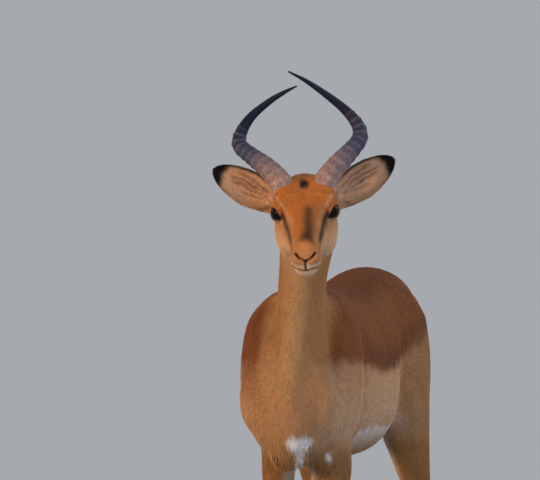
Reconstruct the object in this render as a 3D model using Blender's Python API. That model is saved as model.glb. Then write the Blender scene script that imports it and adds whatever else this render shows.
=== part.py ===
"""Standing impala, a young ram: the solids of a life-size museum model.

Metres, +Z up. The animal faces -Y, its own left side is +X, and its hooves stand on z = 0.
The flesh is modelled whole from lofts and muscle masses, fused, thinned and then parted
into named pieces by thin cuts. Eyes, horns, ears and hooves are solids of their own.
"""

import math
from dataclasses import dataclass

import bmesh
import bpy
import numpy as np
from mathutils import Euler, Matrix, Vector

# ---------------------------------------------------------------- driving sizes
GAP = 0.0003  # clearance that neighbouring solids keep
VOXEL = 0.0032  # grid on which the lofts are fused
SMOOTHING_ROUNDS = 22  # how long the fused flesh is smoothed
FLESH_TRIANGLES = 4300  # triangles left in the fused flesh before it is parted

HEAD_AT = Vector((0.062, -0.489, 0.967))  # midway between the eyes
HEAD_PITCH = math.radians(29.5)  # the nose points this far below level
HEAD_YAW = math.radians(10.7)  # the head turns to its own left
HEAD_ROLL = math.radians(-2.5)  # the left ear is carried a little higher

EYE_RADIUS = 0.0172
EYE_SPACING = 0.0405  # from the middle of the skull to an eyeball's centre
EYE_FORWARD = 0.002
EYE_LIFT = 0.002

HIP_SWING = 0.012  # the hips stand this far to the left of the shoulders
FORE_LEFT_X, FORE_RIGHT_X = 0.054, -0.035
FORE_LEFT_Y, FORE_RIGHT_Y = -0.226, -0.248
FORE_ELBOWS = 0.038, 0.030  # half breadths, left and right, as the weight spreads them
FORE_FOOT_AHEAD = 0.036  # from a foreleg's line to the middle of its hoof
HIND_X = 0.088  # from the middle of the hips to a hock
HIND_LEFT_Y, HIND_RIGHT_Y = 0.0, -0.030
HIND_FOOT_BEHIND = 0.360  # from the hind legs' reference line to the middle of a hoof

CLAW_LENGTH = 0.052
CLAW_WIDTH = 0.0192
CLAW_TOE_HEIGHT = 0.032
CLAW_HEEL_HEIGHT = 0.013
CLAW_CLEFT = 0.0012  # half of the cleft between the two claws of a foot

X_AXIS = Vector((1, 0, 0))
Y_AXIS = Vector((0, 1, 0))
DOWN = Vector((0, 0, -1))


# ---------------------------------------------------------------- lofted flesh
@dataclass(frozen=True)
class Ring:
    """One cross-section: its centre and how far flesh reaches from it.

    fore is measured along the ring's second direction and aft against it; a shape of 2 is
    an ellipse and more is squarer.
    """

    x: float
    y: float
    z: float
    side: float
    fore: float
    aft: float
    fore_shape: float = 2.0
    aft_shape: float = 2.0

    def values(self):
        """Returns the ring as eight plain numbers, for blending."""
        return np.array(
            [self.x, self.y, self.z, self.side, self.fore, self.aft, self.fore_shape, self.aft_shape]
        )


def blend_rings(rings, per_span):
    """Returns rings on a smooth curve through the given ones, as rows of eight numbers."""
    rows = [ring.values() for ring in rings]
    rows = [2 * rows[0] - rows[1], *rows, 2 * rows[-1] - rows[-2]]
    blended = []
    for before, start, end, after in zip(rows, rows[1:], rows[2:], rows[3:]):
        for step in range(per_span):
            t = step / per_span
            cubic = 2 * start + (end - before) * t
            cubic += (2 * before - 5 * start + 4 * end - after) * t**2
            cubic += (3 * start - before - 3 * end + after) * t**3
            blended.append(cubic / 2)
    blended.append(rows[-2])
    return blended


def power(value, shape):
    """Returns a cosine or sine bent for a superellipse of the given shape."""
    return math.copysign(abs(value) ** (2 / shape), value)


def loft(rings, per_span=4, segments=24, plane=None):
    """Returns a closed bmesh through the rings.

    Rings lie across the centre line, or across the direction `plane` where one is given.
    """
    rows = blend_rings(rings, per_span)
    points = [Vector(row[:3]) for row in rows]
    bm = bmesh.new()
    loops = []
    for i, row in enumerate(rows):
        along = plane or (points[min(i + 1, len(points) - 1)] - points[max(i - 1, 0)]).normalized()
        across = (X_AXIS - along * X_AXIS.dot(along)).normalized()
        second = across.cross(along).normalized()
        loop = []
        for k in range(segments):
            angle = 2 * math.pi * k / segments
            sine = math.sin(angle)
            reach, shape = (row[4], row[6]) if sine >= 0 else (row[5], row[7])
            offset = across * row[3] * power(math.cos(angle), shape)
            offset += second * reach * power(sine, shape)
            loop.append(bm.verts.new(points[i] + offset))
        loops.append(loop)
    for low, high in zip(loops, loops[1:]):
        for k in range(segments):
            bm.faces.new((low[k], low[(k + 1) % segments], high[(k + 1) % segments], high[k]))
    bm.faces.new(list(reversed(loops[0])))
    bm.faces.new(loops[-1])
    bmesh.ops.recalc_face_normals(bm, faces=bm.faces)
    return bm


def mass(centre, radii, turn=(0, 0, 0)):
    """Returns an egg-shaped muscle mass; turn is in degrees about X, Y and Z."""
    bm = bmesh.new()
    bmesh.ops.create_uvsphere(bm, u_segments=24, v_segments=14, radius=1)
    angles = Euler([math.radians(angle) for angle in turn])
    matrix = Matrix.Translation(centre) @ angles.to_matrix().to_4x4() @ Matrix.Diagonal((*radii, 1))
    bmesh.ops.transform(bm, matrix=matrix, verts=bm.verts)
    return bm


def both_sides(make):
    """Returns what make(side) gives for the animal's left (+1) and right (-1)."""
    return [make(1), make(-1)]


def head_matrix(pitch=HEAD_PITCH):
    """Returns the matrix that carries the head from its own frame to its pose.

    With a pitch of 0 it carries a level frame, which horns and ears are measured in.
    """
    turn = Matrix.Rotation(HEAD_YAW, 4, "Z") @ Matrix.Rotation(HEAD_ROLL, 4, "Y")
    turn = turn @ Matrix.Rotation(pitch, 4, "X")
    return Matrix.Translation(HEAD_AT) @ turn


def in_head(bm, pitch=HEAD_PITCH):
    """Returns the bmesh carried from the head's own frame to its pose."""
    bmesh.ops.transform(bm, matrix=head_matrix(pitch), verts=bm.verts)
    return bm


def hip_shift(y):
    """Returns how far the body leans to the left at y, from none at the shoulders."""
    share = min(1.0, max(0.0, (y + 0.10) / 0.32))
    return HIP_SWING * share * share * (3 - 2 * share)


# ---------------------------------------------------------------- the flesh
def trunk_flesh():
    """Returns the barrel from the point of the chest to the buttocks, with its muscles."""

    def ring(y, z, side, up, down, keel=2.0, crest=2.4):
        return Ring(hip_shift(y), y, z, side, up, down, crest, keel)

    def pair(centre, radii, turn=(0, 0, 0)):
        out, y, z = centre
        middle = hip_shift(y)
        lean_x, lean_y, lean_z = turn
        return both_sides(
            lambda s: mass((middle + s * out, y, z), radii, (lean_x, s * lean_y, s * lean_z))
        )

    barrel = loft(
        [
            ring(-0.384, 0.618, 0.018, 0.030, 0.030),
            ring(-0.370, 0.622, 0.044, 0.066, 0.066),
            ring(-0.340, 0.637, 0.070, 0.108, 0.112),
            ring(-0.300, 0.653, 0.092, 0.138, 0.142),
            ring(-0.240, 0.667, 0.106, 0.151, 0.160),
            ring(-0.180, 0.669, 0.108, 0.151, 0.164, 2.1),
            ring(-0.100, 0.664, 0.108, 0.146, 0.161, 2.4),
            ring(-0.010, 0.661, 0.109, 0.142, 0.161, 2.9),
            ring(0.080, 0.664, 0.107, 0.140, 0.160, 3.0),
            ring(0.160, 0.682, 0.101, 0.133, 0.154, 2.8, 2.2),
            ring(0.240, 0.704, 0.099, 0.121, 0.138, 2.4, 2.0),
            ring(0.320, 0.712, 0.096, 0.111, 0.120, 2.0, 2.0),
            ring(0.375, 0.714, 0.080, 0.095, 0.092),
            ring(0.410, 0.712, 0.054, 0.069, 0.064),
            ring(0.430, 0.708, 0.020, 0.030, 0.028),
        ],
        segments=36,
        plane=Y_AXIS,
    )
    parts = [barrel]
    parts += pair((0.064, -0.240, 0.685), (0.037, 0.066, 0.104), (-20, 6, 0))
    parts += pair((0.054, -0.195, 0.598), (0.037, 0.085, 0.072), (-12, 0, 0))
    parts += pair((0.058, -0.306, 0.630), (0.036, 0.048, 0.066), (-14, 0, 0))
    parts += pair((0.057, 0.285, 0.706), (0.051, 0.115, 0.082), (-14, 6, 0))
    parts += pair((0.060, 0.232, 0.766), (0.026, 0.042, 0.020), (-30, 0, 0))
    parts += pair((0.058, 0.350, 0.676), (0.047, 0.068, 0.100), (4, 0, 0))
    parts.append(mass((0, -0.318, 0.553), (0.044, 0.062, 0.050), (-20, 0, 0)))
    return parts


def neck_flesh():
    """Returns the neck, which leans forward and bends to the animal's left."""
    return loft(
        [
            Ring(0.004, -0.262, 0.575, 0.040, 0.098, 0.050),
            Ring(0.005, -0.268, 0.645, 0.0495, 0.128, 0.080),
            Ring(0.011, -0.284, 0.712, 0.0465, 0.106, 0.100),
            Ring(0.018, -0.309, 0.780, 0.0440, 0.082, 0.082),
            Ring(0.0265, -0.337, 0.845, 0.0430, 0.063, 0.066),
            Ring(0.0400, -0.364, 0.905, 0.0480, 0.057, 0.058),
            Ring(0.0530, -0.392, 0.965, 0.0460, 0.050, 0.050),
            Ring(0.060, -0.412, 1.003, 0.0300, 0.034, 0.034),
        ],
        per_span=5,
    )


def skull_flesh():
    """Returns the head without its ears, in the head's own frame.

    There y runs from the nose, at about -0.15, back to the poll, and z = 0 is the line
    from the eyes to the nostrils.
    """

    def ring(forward, middle, side, up, down, up_shape=2.0, down_shape=2.2):
        return Ring(0, -forward, middle, side, up, down, up_shape, down_shape)

    core = loft(
        [
            ring(0.1530, -0.006, 0.0090, 0.008, 0.012),
            ring(0.1480, -0.009, 0.0180, 0.018, 0.023),
            ring(0.1350, -0.013, 0.0235, 0.029, 0.031),
            ring(0.1150, -0.016, 0.0260, 0.036, 0.034),
            ring(0.0900, -0.018, 0.0280, 0.040, 0.035),
            ring(0.0600, -0.020, 0.0330, 0.045, 0.037),
            ring(0.0300, -0.022, 0.0415, 0.051, 0.044, 2.2),
            ring(0.0000, -0.022, 0.0490, 0.056, 0.053, 2.5),
            ring(-0.0300, -0.022, 0.0525, 0.055, 0.062, 2.6),
            ring(-0.0550, -0.020, 0.0510, 0.052, 0.067, 2.5),
            ring(-0.0800, -0.016, 0.0460, 0.044, 0.062, 2.2),
            ring(-0.1050, -0.014, 0.0400, 0.034, 0.048),
            ring(-0.1200, -0.014, 0.0240, 0.018, 0.026),
        ],
        segments=32,
        plane=Y_AXIS,
    )

    def pair(centre, radii, turn=(0, 0, 0)):
        out, y, z = centre
        lean_x, lean_y, lean_z = turn
        return both_sides(lambda s: mass((s * out, y, z), radii, (lean_x, s * lean_y, s * lean_z)))

    parts = [core]
    parts += pair((0.0365, 0.016, -0.052), (0.0225, 0.052, 0.044), (12, 0, -6))
    parts += pair((0.0440, 0.008, 0.0215), (0.0150, 0.026, 0.0110), (6, 18, 0))
    parts += pair((0.0370, 0.010, 0.0000), (0.0205, 0.027, 0.0230))
    parts += pair((0.0345, 0.046, 0.0240), (0.0230, 0.026, 0.0225))
    parts += pair((0.0125, -0.137, -0.003), (0.0115, 0.0150, 0.0135))
    parts += pair((0.0110, -0.130, -0.019), (0.0150, 0.0180, 0.0125))
    parts.append(mass((0, -0.119, -0.034), (0.0190, 0.0230, 0.0130), (-6, 0, 0)))
    return [in_head(part) for part in parts]


def foreleg_flesh(x, y, elbow):
    """Returns a foreleg from inside the shoulder to the coronet, standing at x, y.

    elbow is half the leg's breadth at the elbow.
    """

    def ring(z, forward, side, fore, aft):
        return Ring(x, y - forward, z, side, aft, fore)

    return loft(
        [
            ring(0.620, 0.000, 0.034, 0.056, 0.060),
            ring(0.560, -0.004, 0.034, 0.048, 0.056),
            ring(0.500, 0.002, elbow, 0.038, 0.047),
            ring(0.450, 0.008, 0.4 * elbow + 0.0145, 0.031, 0.031),
            ring(0.385, 0.013, 0.0200, 0.0225, 0.0215),
            ring(0.325, 0.017, 0.0175, 0.0190, 0.0180),
            ring(0.288, 0.019, 0.0210, 0.0215, 0.0200),
            ring(0.252, 0.017, 0.0170, 0.0160, 0.0175),
            ring(0.185, 0.013, 0.0126, 0.0125, 0.0145),
            ring(0.125, 0.012, 0.0130, 0.0130, 0.0150),
            ring(0.092, 0.013, 0.0175, 0.0160, 0.0185),
            ring(0.066, 0.020, 0.0145, 0.0135, 0.0150),
            ring(0.043, 0.030, 0.0180, 0.0168, 0.0205),
            ring(0.026, 0.037, 0.0195, 0.0180, 0.0265),
            ring(0.012, 0.041, 0.0185, 0.0165, 0.0265),
        ]
    )


def hind_leg_flesh(side, y):
    """Returns a hind leg from the hip to the coronet.

    side is +1 on the left, and y is how far back the hoof stands. The thigh hangs from the
    hip and the shank takes up the step.
    """

    def ring(back, z, out, half, fore, aft, aft_shape=2.0):
        step = y * (1 - ramp(z, 0.44, 0.70))
        return Ring(HIP_SWING + side * out, back + step, z, half, aft, fore, aft_shape)

    leg = loft(
        [
            ring(0.312, 0.740, 0.058, 0.047, 0.085, 0.090),
            ring(0.290, 0.665, 0.064, 0.052, 0.105, 0.132),
            ring(0.264, 0.590, 0.071, 0.049, 0.098, 0.148),
            ring(0.262, 0.525, 0.079, 0.042, 0.079, 0.124, 1.8),
            ring(0.292, 0.462, 0.086, 0.0325, 0.056, 0.090, 1.6),
            ring(0.338, 0.408, HIND_X, 0.0240, 0.040, 0.073, 1.5),
            ring(0.384, 0.363, HIND_X, 0.0205, 0.026, 0.036, 1.8),
            ring(0.400, 0.325, HIND_X, 0.0185, 0.0225, 0.0250),
            ring(0.399, 0.270, HIND_X, 0.0145, 0.0158, 0.0170),
            ring(0.394, 0.190, HIND_X, 0.0134, 0.0135, 0.0150),
            ring(0.389, 0.127, HIND_X, 0.0140, 0.0140, 0.0165),
            ring(0.386, 0.096, HIND_X, 0.0180, 0.0165, 0.0190),
            ring(0.379, 0.070, HIND_X, 0.0148, 0.0135, 0.0150),
            ring(0.368, 0.045, HIND_X, 0.0180, 0.0168, 0.0205),
            ring(0.361, 0.028, HIND_X, 0.0195, 0.0180, 0.0260),
            ring(0.357, 0.012, HIND_X, 0.0185, 0.0165, 0.0260),
        ],
        plane=DOWN,
    )
    hock_x = HIP_SWING + side * HIND_X
    heel = mass((hock_x, 0.404 + y, 0.385), (0.0130, 0.0170, 0.0260), (14, 0, 0))
    return [leg, heel]


def tail_flesh():
    """Returns the hanging tail, as thick as its hair makes it."""
    return loft(
        [
            Ring(HIP_SWING, 0.385, 0.775, 0.024, 0.022, 0.022),
            Ring(HIP_SWING, 0.420, 0.783, 0.021, 0.019, 0.019),
            Ring(HIP_SWING, 0.448, 0.765, 0.018, 0.016, 0.016),
            Ring(HIP_SWING, 0.462, 0.725, 0.0165, 0.0130, 0.0130),
            Ring(HIP_SWING, 0.468, 0.665, 0.0165, 0.0120, 0.0120),
            Ring(HIP_SWING, 0.470, 0.600, 0.0190, 0.0130, 0.0130),
            Ring(HIP_SWING, 0.470, 0.545, 0.0190, 0.0130, 0.0130),
            Ring(HIP_SWING, 0.469, 0.500, 0.0080, 0.0060, 0.0060),
        ],
        per_span=3,
        segments=16,
    )


def join(parts):
    """Returns one mesh object that holds all the bmeshes, still overlapping."""
    bm = bmesh.new()
    for part in parts:
        scratch = bpy.data.meshes.new("scratch")
        part.to_mesh(scratch)
        bm.from_mesh(scratch)
        bpy.data.meshes.remove(scratch)
    mesh = bpy.data.meshes.new("flesh")
    bm.to_mesh(mesh)
    flesh = bpy.data.objects.new("flesh", mesh)
    bpy.context.collection.objects.link(flesh)
    return flesh


def settle(obj):
    """Bakes an object's modifiers into its mesh."""
    graph = bpy.context.evaluated_depsgraph_get()
    mesh = bpy.data.meshes.new_from_object(obj.evaluated_get(graph))
    obj.modifiers.clear()
    obj.data = mesh


def coordinates(mesh):
    """Returns a mesh's points as an array of x, y, z rows."""
    rows = np.empty(len(mesh.vertices) * 3)
    mesh.vertices.foreach_get("co", rows)
    return rows.reshape(-1, 3)


def ramp(value, start, end):
    """Returns 0 below start, 1 above end and an even slope between them."""
    return np.clip((value - start) / (end - start), 0, 1)


def soft_share(points):
    """Returns how freely each point may be smoothed: 1 on trunk and neck, little elsewhere."""
    above_legs = ramp(points[:, 2], 0.48, 0.58)
    behind_head = 1 - ramp(points[:, 2] - 0.6 * (points[:, 1] + 0.36), 0.88, 0.95)
    off_tail = 1 - ramp(points[:, 1], 0.425, 0.445)
    return 0.10 + 0.90 * above_legs * behind_head * off_tail


def thin_share(points):
    """Returns how strongly each point's surroundings are thinned: least on head and feet."""
    head = 1 - ramp(points[:, 2] - 0.6 * (points[:, 1] + 0.36), 0.88, 0.95)
    feet_share = ramp(points[:, 2], 0.10, 0.16)
    legs = ramp(points[:, 2], 0.50, 0.56)
    body = head * (1 - ramp(points[:, 1], 0.43, 0.45))
    return 0.58 + 0.18 * np.minimum(head, feet_share) + 0.18 * np.minimum(body, legs)


def relax(mesh, rounds):
    """Moves each point towards the middle of its neighbours, round after round."""
    points = coordinates(mesh)
    ends = np.empty(len(mesh.edges) * 2, dtype=np.int64)
    mesh.edges.foreach_get("vertices", ends)
    ends = ends.reshape(-1, 2)
    count = np.bincount(ends.ravel(), minlength=len(points))[:, None]
    share = 0.5 * soft_share(points)[:, None]
    for _ in range(rounds):
        total = np.zeros_like(points)
        for axis in range(3):
            total[:, axis] = np.bincount(ends[:, 0], points[ends[:, 1], axis], len(points))
            total[:, axis] += np.bincount(ends[:, 1], points[ends[:, 0], axis], len(points))
        points += share * (total / count - points)
    mesh.vertices.foreach_set("co", points.ravel())
    mesh.update()


def fused_flesh():
    """Returns the whole animal's flesh as one thinned mesh."""
    parts = trunk_flesh() + [neck_flesh(), tail_flesh()] + skull_flesh()
    parts.append(foreleg_flesh(FORE_LEFT_X, FORE_LEFT_Y, FORE_ELBOWS[0]))
    parts.append(foreleg_flesh(FORE_RIGHT_X, FORE_RIGHT_Y, FORE_ELBOWS[1]))
    parts += hind_leg_flesh(1, HIND_LEFT_Y) + hind_leg_flesh(-1, HIND_RIGHT_Y)
    flesh = join(parts)
    grid = flesh.modifiers.new("fuse", "REMESH")
    grid.mode = "VOXEL"
    grid.voxel_size = VOXEL
    settle(flesh)
    relax(flesh.data, SMOOTHING_ROUNDS)

    points = coordinates(flesh.data)
    group = flesh.vertex_groups.new(name="thin")
    share = np.round(thin_share(points), 2)
    for level in np.unique(share):
        chosen = np.flatnonzero(share == level).tolist()
        group.add(chosen, float(level), "REPLACE")
    thin = flesh.modifiers.new("thin", "DECIMATE")
    thin.vertex_group = "thin"
    thin.ratio = FLESH_TRIANGLES / (2 * len(flesh.data.polygons))
    settle(flesh)
    flesh.vertex_groups.clear()
    return flesh


# ---------------------------------------------------------------- horns, ears, eyes, hooves
@dataclass(frozen=True)
class HornPoint:
    """A point of a horn's centre line in the upright head, with the horn's thickness there."""

    out: float
    back: float
    up: float
    thickness: float


LEFT_HORN = (
    HornPoint(0.034, 0.026, 0.025, 0.0440),
    HornPoint(0.037, 0.029, 0.049, 0.0430),
    HornPoint(0.058, 0.045, 0.076, 0.0375),
    HornPoint(0.085, 0.074, 0.102, 0.0315),
    HornPoint(0.0985, 0.094, 0.120, 0.0285),
    HornPoint(0.0950, 0.110, 0.142, 0.0230),
    HornPoint(0.0735, 0.120, 0.169, 0.0175),
    HornPoint(0.0410, 0.122, 0.197, 0.0130),
    HornPoint(0.0090, 0.118, 0.221, 0.0085),
    HornPoint(-0.0210, 0.112, 0.239, 0.0030),
)
RIGHT_HORN = (
    HornPoint(0.034, 0.026, 0.025, 0.0440),
    HornPoint(0.039, 0.029, 0.048, 0.0430),
    HornPoint(0.060, 0.046, 0.074, 0.0375),
    HornPoint(0.088, 0.074, 0.096, 0.0315),
    HornPoint(0.1090, 0.098, 0.114, 0.0280),
    HornPoint(0.1070, 0.112, 0.136, 0.0225),
    HornPoint(0.0880, 0.120, 0.163, 0.0170),
    HornPoint(0.0570, 0.121, 0.187, 0.0125),
    HornPoint(0.0310, 0.117, 0.202, 0.0085),
    HornPoint(0.0070, 0.111, 0.213, 0.0030),
)
HORN_RIDGES = 13
RIDGED_SHARE = 0.64  # the ridged part of a horn, from its root
RIDGE_HEIGHT = 0.0010
HORN_SIDES = 8


def horn(points, side):
    """Returns a horn: ridges of growth on its lower part, a smooth point above."""
    rings = [Ring(side * p.out, p.back, p.up, *[p.thickness / 2] * 3) for p in points]
    rows = np.array(blend_rings(rings, 12))
    ridged = [RIDGED_SHARE * k / (2 * HORN_RIDGES) for k in range(2 * HORN_RIDGES + 1)]
    smooth = [RIDGED_SHARE + (1 - RIDGED_SHARE) * k / 8 for k in range(1, 9)]
    shaped = []
    for k, along in enumerate(ridged + smooth):
        row = [np.interp(along * (len(rows) - 1), np.arange(len(rows)), column) for column in rows.T]
        crest = RIDGE_HEIGHT if k % 2 and along < RIDGED_SHARE else 0.0
        shaped.append(Ring(*row[:3], *[row[3] + crest] * 3))
    return in_head(loft(shaped, per_span=1, segments=HORN_SIDES), pitch=0)


@dataclass(frozen=True)
class Ear:
    """An ear in the head's level frame: where it grows from, and where its point is."""

    root: tuple
    point: tuple
    half_width: float = 0.0305
    thickness: float = 0.0042


LEFT_EAR = Ear((0.046, 0.074, 0.011), (0.157, 0.102, 0.081))
RIGHT_EAR = Ear((0.046, 0.074, 0.009), (0.159, 0.106, 0.075))


def ear(shape, side):
    """Returns a leaf-shaped ear, a cup that opens forward and a little outward."""
    root = Vector((side * shape.root[0], shape.root[1], shape.root[2]))
    point = Vector((side * shape.point[0], shape.point[1], shape.point[2]))
    length = (point - root).length
    axis = (point - root).normalized()
    opening = Vector((side * 0.10, -0.97, -0.10))
    opening = (opening - axis * opening.dot(axis)).normalized()
    across = axis.cross(opening)
    steps, spread = 9, 6
    bm = bmesh.new()
    layers = []
    for skin in (0.0, shape.thickness):
        layer = []
        for i in range(steps + 1):
            s = i / steps
            half = shape.half_width * (0.52 + 0.48 * min(1, s / 0.45) ** 0.8)
            half *= max(0.004, 1 - max(0, (s - 0.45) / 0.55) ** 2) ** 0.62
            fold = math.radians(112 - 60 * min(1, s / 0.75))
            radius = half / math.sin(min(fold, math.pi / 2))
            row = []
            for k in range(spread + 1):
                angle = fold * (2 * k / spread - 1)
                sideways = across * (radius + skin) * math.sin(angle)
                depth = opening * (radius * math.cos(fold) - (radius + skin) * math.cos(angle))
                row.append(bm.verts.new(root + axis * length * s + sideways + depth))
            layer.append(row)
        layers.append(layer)
    inside, outside = layers
    for i in range(steps):
        for k in range(spread):
            for layer in layers:
                bm.faces.new((layer[i][k], layer[i + 1][k], layer[i + 1][k + 1], layer[i][k + 1]))
        for k in (0, spread):
            bm.faces.new((inside[i][k], inside[i + 1][k], outside[i + 1][k], outside[i][k]))
    for k in range(spread):
        for i in (0, steps):
            bm.faces.new((inside[i][k], inside[i][k + 1], outside[i][k + 1], outside[i][k]))
    bmesh.ops.recalc_face_normals(bm, faces=bm.faces)
    return in_head(bm, pitch=0)


def eyeball(side, radius):
    """Returns an eyeball; its poles lie across the head, where the lids hide nothing."""
    bm = bmesh.new()
    bmesh.ops.create_uvsphere(bm, u_segments=14, v_segments=9, radius=radius)
    bmesh.ops.rotate(bm, matrix=Matrix.Rotation(math.pi / 2, 3, "Y"), verts=bm.verts)
    centre = Vector((side * EYE_SPACING, -EYE_FORWARD, EYE_LIFT))
    bmesh.ops.translate(bm, vec=centre, verts=bm.verts)
    return in_head(bm)


def coronet_height(forward):
    """Returns the height of a claw's upper edge, forward of the middle of the foot."""
    share = 0.5 + forward / CLAW_LENGTH
    return CLAW_HEEL_HEIGHT + (CLAW_TOE_HEIGHT - CLAW_HEEL_HEIGHT) * share


def claw(x, y, side):
    """Returns one claw of a cloven hoof: flat below and inside, pointed in front."""
    segments, levels = 14, 2
    bm = bmesh.new()
    loops = []
    for level in range(levels + 1):
        rise = level / levels
        loop = []
        for k in range(segments):
            angle = 2 * math.pi * k / segments
            forward = math.cos(angle)
            narrow = 1 - 0.50 * max(0, forward) ** 1.5
            across = math.sin(angle)
            bulge = CLAW_WIDTH * (0.5 + 0.5 * power(across, 3.2) * narrow)
            taper = 1 - 0.10 * rise
            reach = forward * CLAW_LENGTH / 2 * (1 - 0.36 * rise * (forward > 0))
            reach -= 0.003 * rise
            height = rise * coronet_height(reach)
            loop.append(bm.verts.new((x + side * (CLAW_CLEFT + bulge * taper), y - reach, height)))
        loops.append(loop)
    for low, high in zip(loops, loops[1:]):
        for k in range(segments):
            bm.faces.new((low[k], low[(k + 1) % segments], high[(k + 1) % segments], high[k]))
    bm.faces.new(loops[0])
    bm.faces.new(loops[-1])
    bmesh.ops.recalc_face_normals(bm, faces=bm.faces)
    return bm


# ---------------------------------------------------------------- parting the flesh
@dataclass(frozen=True)
class Cut:
    """A thin slab that parts the flesh: its middle, its half sizes and its lean in degrees."""

    middle: tuple
    half: tuple
    lean: float = 0.0


CUTS = (
    Cut((0.045, -0.368, 0.906), (0.10, 0.115, GAP / 2), 26),  # head from neck
    Cut((0.010, -0.308, 0.735), (0.16, 0.160, GAP / 2), 49),  # neck from forequarters
    Cut((0.000, -0.105, 0.670), (0.16, 0.200, GAP / 2), 90),  # forequarters from barrel
    Cut((0.000, 0.135, 0.670), (0.16, 0.200, GAP / 2), 90),  # barrel from hindquarters
    Cut((0.000, 0.430, 0.779), (0.05, 0.035, GAP / 2), 90),  # tail from hindquarters
    Cut((0.000, -0.240, 0.497), (0.14, 0.120, GAP / 2)),  # forearms from forequarters
    Cut((0.000, -0.255, 0.258), (0.14, 0.080, GAP / 2)),  # fore cannons from forearms
    Cut((0.000, -0.255, 0.076), (0.14, 0.080, GAP / 2)),  # fore pasterns from cannons
    Cut((0.000, 0.270, 0.503), (0.16, 0.160, GAP / 2)),  # shanks from hindquarters
    Cut((0.000, 0.380, 0.322), (0.16, 0.080, GAP / 2)),  # hind cannons from shanks
    Cut((0.000, 0.370, 0.079), (0.16, 0.080, GAP / 2)),  # hind pasterns from cannons
)


def mesh_object(name, bm):
    """Returns a linked object made of a bmesh, which is freed."""
    bmesh.ops.triangulate(bm, faces=bm.faces)
    mesh = bpy.data.meshes.new(name)
    bm.to_mesh(mesh)
    bm.free()
    obj = bpy.data.objects.new(name, mesh)
    bpy.context.collection.objects.link(obj)
    return obj


def carve(obj, tool, operation="DIFFERENCE"):
    """Applies one exact Boolean with a tool object, which is then removed."""
    modifier = obj.modifiers.new("carve", "BOOLEAN")
    modifier.operation = operation
    modifier.object = tool
    settle(obj)
    bpy.data.objects.remove(tool)


def slab(cut):
    """Returns the cutter object of a Cut."""
    bm = bmesh.new()
    bmesh.ops.create_cube(bm, size=2)
    turn = Matrix.Rotation(math.radians(cut.lean), 4, "X")
    matrix = Matrix.Translation(cut.middle) @ turn @ Matrix.Diagonal((*cut.half, 1))
    bmesh.ops.transform(bm, matrix=matrix, verts=bm.verts)
    return mesh_object("slab", bm)


def sole_clearance(x, y):
    """Returns the wedge that ends a pastern just above its claws."""
    bm = bmesh.new()
    reach = 0.040  # half the wedge's width and length, past the foot all round
    corners = []
    for across in (-reach, reach):
        for forward in (-reach, reach):
            top = coronet_height(forward) + GAP
            corners.append(bm.verts.new((x + across, y - forward, -0.02)))
            corners.append(bm.verts.new((x + across, y - forward, top)))
    bmesh.ops.convex_hull(bm, input=corners)
    bmesh.ops.recalc_face_normals(bm, faces=bm.faces)
    return mesh_object("clearance", bm)


def islands(mesh):
    """Returns the separate pieces of a mesh, each as a bmesh."""
    whole = bmesh.new()
    whole.from_mesh(mesh)
    waiting = set(whole.verts)
    pieces = []
    while waiting:
        front = [waiting.pop()]
        group = set(front)
        while front:
            vert = front.pop()
            for edge in vert.link_edges:
                other = edge.other_vert(vert)
                if other not in group:
                    group.add(other)
                    front.append(other)
        waiting -= group
        piece = bmesh.new()
        twin = {vert: piece.verts.new(vert.co) for vert in group}
        for face in whole.faces:
            if face.verts[0] in group:
                piece.faces.new([twin[vert] for vert in face.verts])
        pieces.append(piece)
    whole.free()
    return pieces


def feet():
    """Returns each foot's name with the middle of its two claws."""
    return {
        "fore_left": (FORE_LEFT_X, FORE_LEFT_Y - FORE_FOOT_AHEAD),
        "fore_right": (FORE_RIGHT_X, FORE_RIGHT_Y - FORE_FOOT_AHEAD),
        "hind_left": (HIP_SWING + HIND_X, HIND_LEFT_Y + HIND_FOOT_BEHIND),
        "hind_right": (HIP_SWING - HIND_X, HIND_RIGHT_Y + HIND_FOOT_BEHIND),
    }


def flesh_seats():
    """Returns a point near the middle of each piece of flesh, by the piece's name."""
    seats = {
        "head": HEAD_AT,
        "neck": Vector((0.03, -0.34, 0.82)),
        "forequarters": Vector((0, -0.22, 0.66)),
        "barrel": Vector((0, 0.01, 0.67)),
        "hindquarters": Vector((0, 0.26, 0.70)),
        "tail": Vector((0, 0.47, 0.64)),
    }
    for name, (x, y) in feet().items():
        if name.startswith("fore"):
            seats[f"forearm_{name[5:]}"] = Vector((x, y + 0.026, 0.38))
            seats[f"fore_cannon_{name[5:]}"] = Vector((x, y + 0.022, 0.165))
            seats[f"fore_pastern_{name[5:]}"] = Vector((x, y + 0.015, 0.055))
        else:
            seats[f"shank_{name[5:]}"] = Vector((x, y - 0.075, 0.46))
            seats[f"hind_cannon_{name[5:]}"] = Vector((x, y + 0.033, 0.200))
            seats[f"hind_pastern_{name[5:]}"] = Vector((x, y + 0.015, 0.055))
    return seats


def middle_of(bm):
    """Returns the middle of a bmesh's bounding box."""
    low = Vector(min(v.co[axis] for v in bm.verts) for axis in range(3))
    high = Vector(max(v.co[axis] for v in bm.verts) for axis in range(3))
    return (low + high) / 2


def part_flesh(flesh):
    """Cuts the flesh apart and returns its named pieces."""
    for cut in CUTS:
        carve(flesh, slab(cut))
    for x, y in feet().values():
        carve(flesh, sole_clearance(x, y))
    seats = flesh_seats()
    named = {}
    for piece in sorted(islands(flesh.data), key=lambda bm: -bm.calc_volume()):
        middle = middle_of(piece)
        name = min(seats, key=lambda seat: (seats[seat] - middle).length)
        if name in named:
            piece.free()
            continue
        named[name] = mesh_object(name, piece)
    bpy.data.objects.remove(flesh)
    return named


# ---------------------------------------------------------------- materials
@dataclass(frozen=True)
class Finish:
    """A plain surface colour, as sRGB hex, with its roughness."""

    colour: str
    roughness: float


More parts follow.
